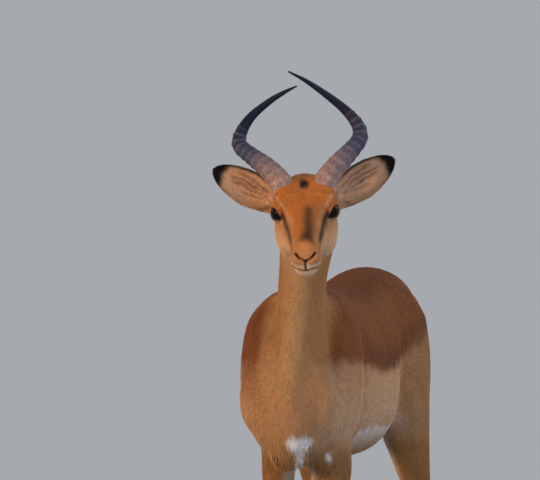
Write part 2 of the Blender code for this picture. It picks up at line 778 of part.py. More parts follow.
FINISHES = {
    "coat": Finish("9A6740", 0.85),
    "saddle_coat": Finish("7A4A2A", 0.85),
    "horn": Finish("4A3C36", 0.55),
    "hoof": Finish("231D1A", 0.45),
    "eye": Finish("120C09", 0.08),
    "ear": Finish("C48658", 0.85),
}
WORN = {
    "barrel": "saddle_coat",
    "hindquarters": "saddle_coat",
}


def linear(hex_colour):
    """Returns a linear RGBA colour from an sRGB hex one."""
    channels = [int(hex_colour[i : i + 2], 16) / 255 for i in (0, 2, 4)]
    bent = [c / 12.92 if c <= 0.04045 else ((c + 0.055) / 1.055) ** 2.4 for c in channels]
    return (*bent, 1.0)


def dress(obj, finish_name):
    """Gives an object its own Principled material and smooth shading."""
    finish = FINISHES[finish_name]
    material = bpy.data.materials.new(f"{obj.name}_{finish_name}")
    material.use_nodes = True
    shader = material.node_tree.nodes["Principled BSDF"]
    shader.inputs["Base Color"].default_value = linear(finish.colour)
    shader.inputs["Roughness"].default_value = finish.roughness
    obj.data.materials.clear()
    obj.data.materials.append(material)
    obj.data.shade_smooth()
    obj.data.set_sharp_from_angle(angle=math.radians(40))


# ---------------------------------------------------------------- the whole animal
def swollen(body):
    """Returns a copy of the body grown by the gap, to trim what is rooted in it."""
    mesh = body.data.copy()
    points = coordinates(mesh)
    normals = np.empty(points.size)
    mesh.vertices.foreach_get("normal", normals)
    mesh.vertices.foreach_set("co", (points + GAP * normals.reshape(-1, 3)).ravel())
    mesh.update()
    copy = bpy.data.objects.new("swollen", mesh)
    bpy.context.collection.objects.link(copy)
    return copy


def outside_only(name, bm, body):
    """Returns the part of a shape that lies outside the body, as a named object."""
    obj = mesh_object("rooted", bm)
    carve(obj, swollen(body))
    pieces = sorted(islands(obj.data), key=lambda piece: -piece.calc_volume())
    bpy.data.objects.remove(obj)
    for piece in pieces[1:]:
        piece.free()
    return mesh_object(name, pieces[0])


def build():
    """Builds every piece of the animal and centres the whole over the origin."""
    flesh = fused_flesh()
    extras = {
        "horn_left": outside_only("horn_left", horn(LEFT_HORN, 1), flesh),
        "horn_right": outside_only("horn_right", horn(RIGHT_HORN, -1), flesh),
        "ear_left": outside_only("ear_left", ear(LEFT_EAR, 1), flesh),
        "ear_right": outside_only("ear_right", ear(RIGHT_EAR, -1), flesh),
    }
    for label, side in (("left", 1), ("right", -1)):
        carve(flesh, mesh_object("socket", eyeball(side, EYE_RADIUS + GAP)))
        extras[f"eye_{label}"] = mesh_object(f"eye_{label}", eyeball(side, EYE_RADIUS))
    for foot, (x, y) in feet().items():
        for label, side in (("left", 1), ("right", -1)):
            extras[f"claw_{foot}_{label}"] = mesh_object(f"claw_{foot}_{label}", claw(x, y, side))

    pieces = part_flesh(flesh)
    for name, obj in pieces.items():
        dress(obj, WORN.get(name, "coat"))
    for name, obj in extras.items():
        kind = {"horn": "horn", "ear": "ear", "eye": "eye", "claw": "hoof"}[name.split("_")[0]]
        dress(obj, kind)
    centre([*pieces.values(), *extras.values()])


def centre(objects):
    """Moves all the pieces together, so that their box stands over the origin."""
    points = np.vstack([coordinates(obj.data) for obj in objects])
    low, high = points.min(axis=0), points.max(axis=0)
    shift = Matrix.Translation((-(low[0] + high[0]) / 2, -(low[1] + high[1]) / 2, 0))
    for obj in objects:
        obj.data.transform(shift)


for old in list(bpy.data.objects):
    bpy.data.objects.remove(old)
build()
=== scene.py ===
"""Life-size standing impala ram, a young male, as a museum would show it.

One skin with its folds and lids, a coat of mesh tufts that follows the lie of the hair,
ridged horns, glossy eyes and cloven hooves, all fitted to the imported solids.
Metres, +Z up; the tables of places and sizes are in millimetres. The animal faces -Y and
its own left side is +X.
"""

import logging
import math
from collections.abc import Iterable, Iterator, Sequence
from dataclasses import dataclass, field
from enum import Enum, IntEnum

import bmesh
import bpy
import numpy as np
from mathutils import Euler, Matrix, Vector


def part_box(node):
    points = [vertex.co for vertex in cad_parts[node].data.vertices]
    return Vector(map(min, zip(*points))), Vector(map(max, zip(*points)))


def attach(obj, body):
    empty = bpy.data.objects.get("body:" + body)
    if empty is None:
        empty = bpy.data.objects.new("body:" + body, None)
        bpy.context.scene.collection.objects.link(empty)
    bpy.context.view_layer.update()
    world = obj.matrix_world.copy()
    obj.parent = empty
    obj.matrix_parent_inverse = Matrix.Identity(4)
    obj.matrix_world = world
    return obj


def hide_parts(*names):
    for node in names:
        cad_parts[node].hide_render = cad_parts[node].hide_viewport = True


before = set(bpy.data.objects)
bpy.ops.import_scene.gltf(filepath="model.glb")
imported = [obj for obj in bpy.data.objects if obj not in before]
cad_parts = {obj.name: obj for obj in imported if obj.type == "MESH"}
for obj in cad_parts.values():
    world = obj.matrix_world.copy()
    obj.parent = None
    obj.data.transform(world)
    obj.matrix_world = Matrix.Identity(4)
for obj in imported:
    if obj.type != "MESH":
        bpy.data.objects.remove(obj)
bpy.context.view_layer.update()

log = logging.getLogger("impala")

Point = tuple[float, float, float]
Path = tuple[Point, ...]
Rows = np.ndarray
Body = bmesh.types.BMesh
Mesh = bpy.types.Mesh
Piece = bpy.types.Object

X_AXIS = Vector((1, 0, 0))
Y_AXIS = Vector((0, 1, 0))
DOWN = Vector((0, 0, -1))
TURN = 2 * math.pi
MM = 1000.0


class Side(IntEnum):
    """The animal's own sides, as the sign of x."""

    LEFT = 1
    RIGHT = -1


# ---------------------------------------------------------------- small tools
def metres(sizes: Sequence) -> Rows:
    """Returns sizes or places in millimetres as metres."""
    return np.array(sizes, dtype=float) / MM


def smooth(value: Rows, low: float, high: float) -> Rows:
    """Returns a soft step: 0 at low, 1 at high, with no corner at either end."""
    share = np.clip((value - low) / (high - low), 0, 1)
    return share * share * (3 - 2 * share)


def bell(value: Rows, width: float) -> Rows:
    """Returns a soft hump: 1 at 0 and about a third at a width from it."""
    return np.exp(-((value / width) ** 2))


def unit(step: Rows) -> Rows:
    """Returns a step at a length of 1."""
    return step / np.linalg.norm(step)


def path_distances(points: Rows, path: Path, mirrored: bool) -> Iterator[tuple[Rows, Rows]]:
    """Measures points against a path of straight lines and against its mirror image.

    Args:
        points: rows of x, y, z.
        path: two or more points of the path, in millimetres.
        mirrored: whether there is a mirror image.

    Yields:
        Each point's distance to the path, and its share of the way along it.
    """
    corners = metres(path)
    for flip in (1, -1) if mirrored else (1,):
        rows = points * (flip, 1, 1)
        nearest = np.full(len(rows), np.inf)
        along = np.zeros(len(rows))
        for i, (start, end) in enumerate(zip(corners, corners[1:])):
            step = end - start
            share = np.clip((rows - start) @ step / max(step @ step, 1e-12), 0, 1)
            distance = np.linalg.norm(rows - start - share[:, None] * step, axis=1)
            closer = distance < nearest
            nearest = np.where(closer, distance, nearest)
            along = np.where(closer, (i + share) / (len(corners) - 1), along)
        yield nearest, along


def read(items: Sequence, key: str, width: int = 1, kind: type = float) -> Rows:
    """Returns a value of every point, edge or face as an array, in rows where it is wider."""
    rows = np.empty(len(items) * width, dtype=kind)
    items.foreach_get(key, rows)
    return rows.reshape(-1, width) if width > 1 else rows


def coordinates(mesh: Mesh) -> Rows:
    """Returns a mesh's points as rows of x, y, z."""
    return read(mesh.vertices, "co", 3)


def triangles(mesh: Mesh) -> Rows:
    """Returns the three point numbers of each face of a triangulated mesh."""
    return read(mesh.loops, "vertex_index", 1, np.int64).reshape(-1, 3)


def place(mesh: Mesh, points: Rows) -> None:
    """Moves a mesh's points to the given rows."""
    mesh.vertices.foreach_set("co", points.ravel())
    mesh.update()


def relaxed(rows: Rows, mesh: Mesh, share: Rows | float, rounds: int) -> Rows:
    """Evens out values over a mesh.

    Args:
        rows: a row of values for each point.
        mesh: the mesh.
        share: how far each point moves towards its neighbours' mean in a round.
        rounds: how often this is done.

    Returns:
        The evened rows.
    """
    first, second = read(mesh.edges, "vertices", 2, np.int64).T
    rows = rows.copy()
    count = np.bincount(np.concatenate([first, second]), minlength=len(rows))[:, None]
    if isinstance(share, np.ndarray):
        share = share[:, None]
    for _ in range(rounds):
        total = np.zeros_like(rows)
        for axis in range(rows.shape[1]):
            total[:, axis] = np.bincount(first, rows[second, axis], len(rows))
            total[:, axis] += np.bincount(second, rows[first, axis], len(rows))
        rows += share * (total / count - rows)
    return rows


def evened(mesh: Mesh, share: Rows | float, rounds: int) -> None:
    """Evens out a mesh's points in place; see relaxed()."""
    place(mesh, relaxed(coordinates(mesh), mesh, share, rounds))


def linked(name: str, data: object) -> Piece:
    """Returns a new object in the scene."""
    obj = bpy.data.objects.new(name, data)
    bpy.context.collection.objects.link(obj)
    return obj


def settle(obj: Piece) -> None:
    """Bakes an object's modifiers into its mesh."""
    graph = bpy.context.evaluated_depsgraph_get()
    mesh = bpy.data.meshes.new_from_object(obj.evaluated_get(graph))
    old = obj.data
    obj.modifiers.clear()
    obj.data = mesh
    if not old.users:
        bpy.data.meshes.remove(old)


def mesh_object(name: str, bm: Body) -> Piece:
    """Returns a linked object made of a bmesh, which is freed."""
    mesh = bpy.data.meshes.new(name)
    bm.to_mesh(mesh)
    bm.free()
    return linked(name, mesh)


def joined(name: str, parts: Iterable[Body]) -> Piece:
    """Returns one object that holds all the bmeshes, still overlapping."""
    whole = bmesh.new()
    for part in parts:
        scratch = bpy.data.meshes.new("scratch")
        part.to_mesh(scratch)
        part.free()
        whole.from_mesh(scratch)
        bpy.data.meshes.remove(scratch)
    return mesh_object(name, whole)


def add_tube(
    bm: Body, spots: Sequence, kept: dict[str, Rows] | None = None, tips: tuple = (None, None),
    looped: bool = False,
) -> None:
    """Adds a closed tube through rings of points.

    Args:
        bm: the bmesh to add it to.
        spots: the points, ring by ring.
        kept: what each point keeps, by name and in the same order.
        tips: the points where its two ends meet; an end without one is flat.
        looped: whether the last ring joins the first and there are no ends.
    """
    layers = []
    for name, rows in (kept or {}).items():
        kinds = bm.verts.layers.float_vector if rows.ndim == 3 else bm.verts.layers.float
        layers.append((kinds.get(name) or kinds.new(name), rows))
    rings = []
    for i, ring in enumerate(spots):
        rings.append([bm.verts.new(spot) for spot in ring])
        for layer, rows in layers:
            for vert, value in zip(rings[i], rows[i]):
                vert[layer] = value
    count = len(rings[0])
    for low, high in zip(rings, rings[1:] + rings[:1] if looped else rings[1:]):
        for k in range(count):
            bm.faces.new((low[k], low[(k + 1) % count], high[(k + 1) % count], high[k]))
    ends = [] if looped else sorted(zip((rings[0], rings[-1]), tips), key=lambda end: end[1] is None)
    for ring, tip in ends:
        if tip is None:
            bm.faces.new(ring[::-1] if ring is rings[0] and count > 3 else ring)
            continue
        end = bm.verts.new(tip)
        for k in range(count):
            bm.faces.new((ring[k], ring[(k + 1) % count], end))
    bmesh.ops.recalc_face_normals(bm, faces=bm.faces)


def rounded(bm: Body) -> Body:
    """Returns a bmesh with all its faces shaded as one smooth surface."""
    for face in bm.faces:
        face.smooth = True
    return bm


def around(count: int) -> Rows:
    """Returns evenly spaced angles round a circle."""
    return TURN * np.arange(count) / count


# ---------------------------------------------------------------- where the animal stands
@dataclass(frozen=True)
class HeadPose:
    """Where the head is and how it is held. Its own frame has its origin between the eyes.

    There the nose points to -y, and z = 0 is the line from the eyes to the nostrils.
    """

    at: Point = (0.062, -0.489, 0.967)
    pitch: float = 29.5
    yaw: float = 10.7
    roll: float = -2.5

    def matrix(self, pitched: bool = True) -> Matrix:
        """Returns the matrix from the head's frame, or from a level one, to the animal's."""
        turn = Matrix.Rotation(math.radians(self.yaw), 4, "Z")
        turn = turn @ Matrix.Rotation(math.radians(self.roll), 4, "Y")
        if pitched:
            turn = turn @ Matrix.Rotation(math.radians(self.pitch), 4, "X")
        return Matrix.Translation(self.at) @ turn

    def carry(self, bm: Body, pitched: bool = True) -> Body:
        """Returns the bmesh moved from the head's frame to its pose."""
        bmesh.ops.transform(bm, matrix=self.matrix(pitched), verts=bm.verts)
        return bm

    def outward(self, points: Rows) -> Rows:
        """Returns points of the head's frame as points of the animal's."""
        matrix = np.array(self.matrix())
        return np.asarray(points) @ matrix[:3, :3].T + matrix[:3, 3]

    def inward(self, points: Rows, pitched: bool = True) -> Rows:
        """Returns points of the animal's frame as points of the head's."""
        matrix = np.array(self.matrix(pitched).inverted())
        return points @ matrix[:3, :3].T + matrix[:3, 3]

    def turned(self, way: Rows, pitched: bool = True) -> Rows:
        """Returns directions of the head's frame as directions of the animal's."""
        return way @ np.array(self.matrix(pitched))[:3, :3].T


@dataclass(frozen=True)
class Stance:
    """Where the hips and the four legs stand; pairs are left and right."""

    hip_swing: float = 0.012
    fore_x: tuple[float, float] = (0.054, -0.035)
    fore_y: tuple[float, float] = (-0.226, -0.248)
    elbows: tuple[float, float] = (0.038, 0.030)
    hind_out: float = 0.088
    hind_y: tuple[float, float] = (0.0, -0.030)
    fore_foot_ahead: float = 0.036
    hind_foot_behind: float = 0.360

    def hip_shift(self, y: Rows | float) -> Rows | float:
        """Returns how far the body leans to its left at y, from none at the shoulders."""
        return self.hip_swing * smooth(y, -0.10, 0.22)

    def centred(self, points: Rows) -> Rows:
        """Returns points with the body's lean taken out of them."""
        return points - np.array((1, 0, 0)) * self.hip_shift(points[:, 1])[:, None]

    def feet(self) -> dict[str, tuple[float, float]]:
        """Returns the middle of each foot, by name."""
        middles = {}
        for i, side in enumerate(Side):
            name = side.name.lower()
            middles[f"fore_{name}"] = (self.fore_x[i], self.fore_y[i] - self.fore_foot_ahead)
            hind_x = self.hip_swing + side * self.hind_out
            middles[f"hind_{name}"] = (hind_x, self.hind_y[i] + self.hind_foot_behind)
        return dict(sorted(middles.items()))


HOOF_LENGTH = 0.052
HOOF_TOE = 0.032
HOOF_HEEL = 0.013
POSE = HeadPose()
STANCE = Stance()


@dataclass(frozen=True)
class EyePlan:
    """An eyeball's size and place in the head's frame, and the way it looks."""

    radius: float = 0.0172
    out: float = 0.0405
    ahead: float = 0.002
    lift: float = 0.002
    turned_out: float = 55.0
    raised: float = 0.20
    corners: tuple[float, float] = (44.0, 54.0)
    lids: tuple[float, float] = (31.0, 22.0)
    slant: float = 16.0
    lid_bend: float = 1.55

    def centre(self, side: Side) -> Rows:
        """Returns the eyeball's middle in the head's frame."""
        return np.array((side * self.out, -self.ahead, self.lift))

    def axes(self, side: Side) -> tuple[Rows, Rows, Rows]:
        """Returns the way the eye looks, the way to its back corner and the way to its upper lid."""
        angle = math.radians(self.turned_out)
        look = unit(np.array((side * math.sin(angle), -math.cos(angle), self.raised)))
        level = np.array((side * math.cos(angle), math.sin(angle), 0.0))
        above = np.cross(level, look) * -side
        tilt = math.radians(self.slant)
        back = level * math.cos(tilt) + above * math.sin(tilt)
        return look, back, above * math.cos(tilt) - level * math.sin(tilt)

    def lid_angle(self, way: Rows) -> Rows:
        """Returns how far from the look direction the lids' edge lies, in radians.

        Args:
            way: the way from the middle of the eye, 0 towards the back corner and a quarter
                turn towards the upper lid.
        """
        long = np.where(np.cos(way) > 0, *np.radians(self.corners))
        high = np.where(np.sin(way) > 0, *np.radians(self.lids))
        across = np.abs(np.cos(way) / long) ** self.lid_bend
        across += np.abs(np.sin(way) / high) ** self.lid_bend
        return across ** (-1 / self.lid_bend)

    def spot(self, side: Side, off: Rows, way: Rows, reach: Rows) -> Rows:
        """Returns places round the eyeball, in the head's frame.

        Args:
            side: which eye.
            off: the angle from the look direction, in radians.
            way: the way round, as for lid_angle().
            reach: the distance from the eye's middle.
        """
        look, back, upper = self.axes(side)
        off, way, reach = (np.asarray(value)[..., None] for value in (off, way, reach))
        aside = back * np.cos(way) + upper * np.sin(way)
        return self.centre(side) + (look * np.cos(off) + aside * np.sin(off)) * reach


EYE = EyePlan()


def plan_shift() -> Vector:
    """Returns the step from the animal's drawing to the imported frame, found from its eyes."""
    packed = np.mean([*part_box("eye_left"), *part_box("eye_right")], axis=0)
    drawn = np.mean([POSE.outward(EYE.centre(side)) for side in Side], axis=0)
    return Vector((packed[0] - drawn[0], packed[1] - drawn[1], 0.0))


# ---------------------------------------------------------------- flesh
@dataclass(frozen=True)
class Ring:
    """One cross-section in millimetres: its centre and its reach to the side, fore and aft.

    A shape of 2 is an ellipse and more is squarer.
    """

    x: float
    y: float
    z: float
    side: float
    fore: float
    aft: float
    fore_shape: float = 2.0
    aft_shape: float = 2.0

    def values(self) -> Rows:
        """Returns the ring as plain numbers in metres, for blending."""
        sizes = metres((self.x, self.y, self.z, self.side, self.fore, self.aft))
        return np.array([*sizes, self.fore_shape, self.aft_shape])


def blend_rings(rings: Sequence[Ring], per_span: int) -> Rows:
    """Returns rings on a smooth curve through the given ones, as rows of numbers."""
    rows = [ring.values() for ring in rings]
    rows = [2 * rows[0] - rows[1], *rows, 2 * rows[-1] - rows[-2]]
    blended = []
    for before, start, end, after in zip(rows, rows[1:], rows[2:], rows[3:]):
        for step in range(per_span):
            t = step / per_span
            cubic = 2 * start + (end - before) * t
            cubic += (2 * before - 5 * start + 4 * end - after) * t**2
            cubic += (3 * start - before - 3 * end + after) * t**3
            blended.append(cubic / 2)
    return np.array([*blended, rows[-2]])


def power(value: float, shape: float) -> float:
    """Returns a sine or cosine bent for a superellipse of the given shape."""
    return math.copysign(abs(value) ** (2 / shape), value)


def loft(rings: Sequence[Ring], segments: int = 30, plane: Vector | None = None) -> Body:
    """Builds a closed body through cross-sections.

    Args:
        rings: the cross-sections.
        segments: points around each.
        plane: the direction that all of them lie across, where they don't follow the line.

    Returns:
        The body.
    """
    rows = blend_rings(rings, 5)
    middles = [Vector(row[:3]) for row in rows]
    loops = []
    for i, row in enumerate(rows):
        ahead = middles[min(i + 1, len(rows) - 1)] - middles[max(i - 1, 0)]
        along = plane or ahead.normalized()
        across = (X_AXIS - along * X_AXIS.dot(along)).normalized()
        second = across.cross(along).normalized()
        loop = []
        for angle in around(segments):
            reach, shape = (row[4], row[6]) if math.sin(angle) >= 0 else (row[5], row[7])
            offset = across * row[3] * power(math.cos(angle), shape)
            offset += second * reach * power(math.sin(angle), shape)
            loop.append(middles[i] + offset)
        loops.append(loop)
    bm = bmesh.new()
    add_tube(bm, loops)
    return bm


def mass(centre: Point, radii: Point, turn: Point = (0, 0, 0)) -> Body:
    """Returns an egg-shaped muscle mass, in millimetres; turn is in degrees about X, Y and Z."""
    bm = bmesh.new()
    bmesh.ops.create_uvsphere(bm, u_segments=32, v_segments=20, radius=1)
    matrix = Matrix.Translation(metres(centre)) @ Euler(np.radians(turn)).to_matrix().to_4x4()
    bmesh.ops.transform(bm, matrix=matrix @ Matrix.Diagonal((*metres(radii), 1)), verts=bm.verts)
    return bm


def paired(centre: Point, radii: Point, turn: Point, middle: float = 0.0) -> list[Body]:
    """Returns a muscle mass and its mirror image, on both sides of x = middle."""
    out, y, z = centre
    return [
        mass((middle + side * out, y, z), radii, (turn[0], side * turn[1], side * turn[2]))
        for side in Side
    ]


class Flesh:
    """The animal's flesh as lofts and muscle masses, the same as the solids are made from."""

    def body(self) -> list[Body]:
        """Returns the trunk, neck, tail and legs."""
        parts = self.trunk() + [self.neck(), self.tail()]
        for i, side in enumerate(Side):
            parts.append(self.foreleg(STANCE.fore_x[i], STANCE.fore_y[i], STANCE.elbows[i]))
            parts += self.hind_leg(side, STANCE.hind_y[i])
        return parts

    def trunk(self) -> list[Body]:
        """Returns the barrel from the point of the chest to the buttocks, with its muscles."""

        def lean(y: float) -> float:
            """Returns how far the body leans to its left, in millimetres."""
            return MM * float(STANCE.hip_shift(y / MM))

        def ring(
            y: float, z: float, side: float, up: float, down: float, keel: float = 2.0,
            crest: float = 2.4,
        ) -> Ring:
            """Returns a cross-section; keel and crest are its shapes below and above."""
            return Ring(lean(y), y, z, side, up, down, crest, keel)

        rings = [
            ring(-384, 618, 18, 30, 30), ring(-370, 622, 44, 66, 66),
            ring(-340, 637, 70, 108, 112), ring(-300, 653, 92, 138, 142),
            ring(-240, 667, 106, 151, 160), ring(-180, 669, 108, 151, 164, 2.1),
            ring(-100, 664, 108, 146, 161, 2.4), ring(-10, 661, 109, 142, 161, 2.9),
            ring(80, 664, 107, 140, 160, 3.0), ring(160, 682, 101, 133, 154, 2.8, 2.2),
            ring(240, 704, 99, 121, 138, 2.4, 2.0), ring(320, 712, 96, 111, 120, 2.0, 2.0),
            ring(375, 714, 80, 95, 92), ring(410, 712, 54, 69, 64), ring(430, 708, 20, 30, 28),
        ]
        parts = [loft(rings, 40, Y_AXIS), mass((0, -318, 553), (44, 62, 50), (-20, 0, 0))]
        for centre, radii, turn in (
            ((64, -240, 685), (37, 66, 104), (-20, 6, 0)),
            ((54, -195, 598), (37, 85, 72), (-12, 0, 0)),
            ((58, -306, 630), (36, 48, 66), (-14, 0, 0)),
            ((57, 285, 706), (51, 115, 82), (-14, 6, 0)),
            ((60, 232, 766), (26, 42, 20), (-30, 0, 0)),
            ((58, 350, 676), (47, 68, 100), (4, 0, 0)),
        ):
            parts += paired(centre, radii, turn, lean(centre[1]))
        return parts

    def neck(self) -> Body:
        """Returns the neck, which leans forward and bends to the animal's left."""
        return loft([
            Ring(4, -262, 575, 40, 98, 50), Ring(5, -268, 645, 49.5, 128, 80),
            Ring(11, -284, 712, 46.5, 106, 100), Ring(18, -309, 780, 44, 82, 82),
            Ring(26.5, -337, 845, 43, 63, 66), Ring(40, -364, 905, 48, 57, 58),
            Ring(53, -392, 965, 46, 50, 50), Ring(60, -412, 1003, 30, 34, 34),
        ])

    def foreleg(self, x: float, y: float, elbow: float) -> Body:
        """Returns a foreleg that stands at x, y; elbow is its half breadth at the elbow."""
        x, y, elbow = (MM * size for size in (x, y, elbow))
        rings = (
            (620, 0, 34, 56, 60), (560, -4, 34, 48, 56), (500, 2, elbow, 38, 47),
            (450, 8, 0.4 * elbow + 14.5, 31, 31), (385, 13, 20, 22.5, 21.5),
            (325, 17, 17.5, 19, 18), (288, 19, 21, 21.5, 20), (252, 17, 17, 16, 17.5),
            (185, 13, 12.6, 12.5, 14.5), (125, 12, 13, 13, 15), (92, 13, 17.5, 16, 18.5),
            (66, 20, 14.5, 13.5, 15), (43, 30, 18, 16.8, 20.5), (26, 37, 19.5, 18, 26.5),
            (12, 41, 18.5, 16.5, 26.5),
        )
        return loft([Ring(x, y - ahead, z, side, aft, fore) for z, ahead, side, fore, aft in rings])

    def hind_leg(self, side: Side, y: float) -> list[Body]:
        """Returns a hind leg from the hip to the coronet, with its heel bone.

        Args:
            side: which leg.
            y: how far back its hoof stands; the shank takes up the step.
        """
        y *= MM
        middle, out = MM * STANCE.hip_swing, MM * STANCE.hind_out

        def ring(
            back: float, z: float, x: float, half: float, fore: float, aft: float, shape: float = 2.0
        ) -> Ring:
            """Returns a cross-section at a distance behind the hoof's own step."""
            step = y * (1 - min(1.0, max(0.0, (z - 440) / 260)))
            return Ring(middle + side * x, back + step, z, half, aft, fore, shape)

        rings = [
            ring(312, 740, 58, 47, 85, 90), ring(290, 665, 64, 52, 105, 132),
            ring(264, 590, 71, 49, 98, 148), ring(262, 525, 79, 42, 79, 124, 1.8),
            ring(292, 462, 86, 32.5, 56, 90, 1.6), ring(338, 408, out, 24, 40, 73, 1.5),
            ring(384, 363, out, 20.5, 26, 36, 1.8), ring(400, 325, out, 18.5, 22.5, 25),
            ring(399, 270, out, 14.5, 15.8, 17), ring(394, 190, out, 13.4, 13.5, 15),
            ring(389, 127, out, 14, 14, 16.5), ring(386, 96, out, 18, 16.5, 19),
            ring(379, 70, out, 14.8, 13.5, 15), ring(368, 45, out, 18, 16.8, 20.5),
            ring(361, 28, out, 19.5, 18, 26), ring(357, 12, out, 18.5, 16.5, 26),
        ]
        heel = mass((middle + side * out, 404 + y, 385), (13, 17, 26), (14, 0, 0))
        return [loft(rings, plane=DOWN), heel]

    def tail(self) -> Body:
        """Returns the hanging tail, as thick as its hair makes it."""
        rings = (
            (385, 775, 24, 22), (420, 783, 21, 19), (448, 765, 18, 16), (462, 725, 16.5, 13),
            (468, 665, 16.5, 12), (470, 600, 19, 13), (470, 545, 19, 13), (469, 500, 8, 6),
        )
        x = MM * STANCE.hip_swing
        return loft([Ring(x, y, z, side, deep, deep) for y, z, side, deep in rings], 20)

    def skull(self) -> list[Body]:
        """Returns the head without its ears, in its pose."""
        rings = (
            (153, -6, 9, 8, 12), (148, -9, 18, 18, 23), (135, -13, 23.5, 29, 31),
            (115, -16, 26, 36, 34), (90, -18, 28, 40, 35), (60, -20, 33, 45, 37),
            (30, -22, 41.5, 51, 44, 2.2), (0, -22, 49, 56, 53, 2.5), (-30, -22, 52.5, 55, 62, 2.6),
            (-55, -20, 51, 52, 67, 2.5), (-80, -16, 46, 44, 62, 2.2), (-105, -14, 40, 34, 48),
            (-120, -14, 24, 18, 26),
        )
        sections = []
        for ahead, middle, side, up, down, *crest in rings:
            sections.append(Ring(0, -ahead, middle, side, up, down, *(crest or [2.0]), 2.2))
        parts = [loft(sections, 40, Y_AXIS), mass((0, -119, -34), (19, 23, 13), (-6, 0, 0))]
        for centre, radii, turn in (
            ((36.5, 16, -52), (22.5, 52, 44), (12, 0, -6)),
            ((44, 8, 21.5), (15, 26, 11), (6, 18, 0)),
            ((37, 10, 0), (20.5, 27, 23), (0, 0, 0)),
            ((34.5, 46, 24), (23, 26, 22.5), (0, 0, 0)),
            ((12.5, -137, -3), (11.5, 15, 13.5), (0, 0, 0)),
            ((11, -130, -19), (15, 18, 12.5), (0, 0, 0)),
        ):
            parts += paired(centre, radii, turn)
        return [POSE.carry(part) for part in parts]


@dataclass(frozen=True)
class Ear:
    """A leaf-shaped ear in the head's level frame: its root and its point, in millimetres."""

    side: Side
    root: Point
    point: Point
    half_width: float = 0.0305
    thickness: float = 0.0040
    steps: int = 34
    spread: int = 24

    def frame_axes(self) -> tuple[Rows, Rows, Rows, Rows, float]:
        """Returns the root, the way to the point, the way it opens, the way across, the length."""
        mirror = np.array((self.side, 1, 1))
        root, point = metres(self.root) * mirror, metres(self.point) * mirror
        length = float(np.linalg.norm(point - root))
        axis = (point - root) / length
        opening = np.array((self.side * 0.10, -0.97, -0.10))
        opening = unit(opening - axis * (opening @ axis))
        return root, axis, opening, np.cross(axis, opening), length

    def half(self, s: float) -> float:
        """Returns half the ear's width at the share s of its length."""
        half = self.half_width * (0.52 + 0.48 * min(1, s / 0.45) ** 0.8)
        return half * max(0.004, 1 - max(0, (s - 0.45) / 0.55) ** 2) ** 0.62

    def solid(self) -> Body:
        """Returns the ear's cup, with its inner and outer skin, in its pose."""
        root, axis, opening, across, length = (Vector(v) if np.ndim(v) else v for v in self.frame_axes())
        bm = bmesh.new()
        skins = []
        for skin in (0.0, self.thickness):
            skins.append([])
            for i in range(self.steps + 1):
                s = i / self.steps
                fold = math.radians(112 - 60 * min(1, s / 0.75))
                radius = self.half(s) / math.sin(min(fold, math.pi / 2))
                row = []
                for k in range(self.spread + 1):
                    turn = 2 * k / self.spread - 1
                    reach = radius + skin * (1 - 0.15 * abs(turn) ** 4)
                    sideways = across * reach * math.sin(fold * turn)
                    depth = radius * math.cos(fold) - reach * math.cos(fold * turn)
                    row.append(bm.verts.new(root + axis * length * s + sideways + opening * depth))
                skins[-1].append(row)
        for rows in skins:
            for low, high in zip(rows, rows[1:]):
                for k in range(self.spread):
                    bm.faces.new((low[k], low[k + 1], high[k + 1], high[k]))
        inside, outside = skins
        for i in range(self.steps):
            for k in (0, self.spread):
                bm.faces.new((inside[i][k], inside[i + 1][k], outside[i + 1][k], outside[i][k]))
        for k in range(self.spread):
            for i in (0, self.steps):
                bm.faces.new((inside[i][k], inside[i][k + 1], outside[i][k + 1], outside[i][k]))
        bmesh.ops.recalc_face_normals(bm, faces=bm.faces)
        return POSE.carry(bm, pitched=False)

    def measure(self, points: Rows) -> tuple[Rows, Rows]:
        """Places points on the ear.

        Args:
            points: rows in the animal's frame.

        Returns:
            The share of the ear's length, and the share of its half width from the middle
            line, negative towards the lower edge.
        """
        root, axis, _, across, length = self.frame_axes()
        local = POSE.inward(points, pitched=False) - root
        along = local @ axis / length
        shares = np.linspace(0, 1, 60)
        half = np.interp(along, shares, [self.half(s) for s in shares])
        upward = math.copysign(1, across[2])
        return along, upward * (local @ across) / np.maximum(half, 0.004)

    def share(self, points: Rows) -> Rows:
        """Returns how far each point belongs to the ear, from 0 on the head to 1 on it."""
        root, axis, _, _, length = self.frame_axes()
        local = POSE.inward(points, pitched=False) - root
        along = local @ axis
        off_axis = np.linalg.norm(local - along[:, None] * axis, axis=1)
        near = 1 - smooth(off_axis, 0.036, 0.046)
        return smooth(along, 0.010, 0.026) * near * (along < length * 1.06)

    def inside(self, normals: Rows, low: float, high: float) -> Rows:
        """Returns 1 where a surface faces the way the ear opens, and 0 behind the ear."""
        return smooth(normals @ POSE.turned(self.frame_axes()[2], pitched=False), low, high)


EARS = (Ear(Side.LEFT, (46, 74, 11), (157, 102, 81)), Ear(Side.RIGHT, (46, 74, 9), (159, 106, 75)))


def on_ears(points: Rows) -> Rows:
    """Returns how far each point belongs to either ear."""
    return np.maximum(*(ear.share(points) for ear in EARS))


# ---------------------------------------------------------------- skin
class Region(IntEnum):
    """The stretches of skin that the coat is made in."""

    HEAD = 0
    NECK = 1
    FOREQUARTERS = 2
    BARREL = 3
    HINDQUARTERS = 4
    TAIL = 5
    FORELEGS = 6
    HIND_LEGS = 7
    EARS = 8


def over_throat(points: Rows) -> Rows:
    """Returns how high each point is over the sloping cut between neck and head."""
    return points[:, 2] - 0.906 - 0.488 * (points[:, 1] + 0.368)


def over_shoulder(points: Rows) -> Rows:
    """Returns how high each point is over the sloping cut between shoulders and neck."""
    return points[:, 2] - 0.735 - 1.15 * (points[:, 1] + 0.308)


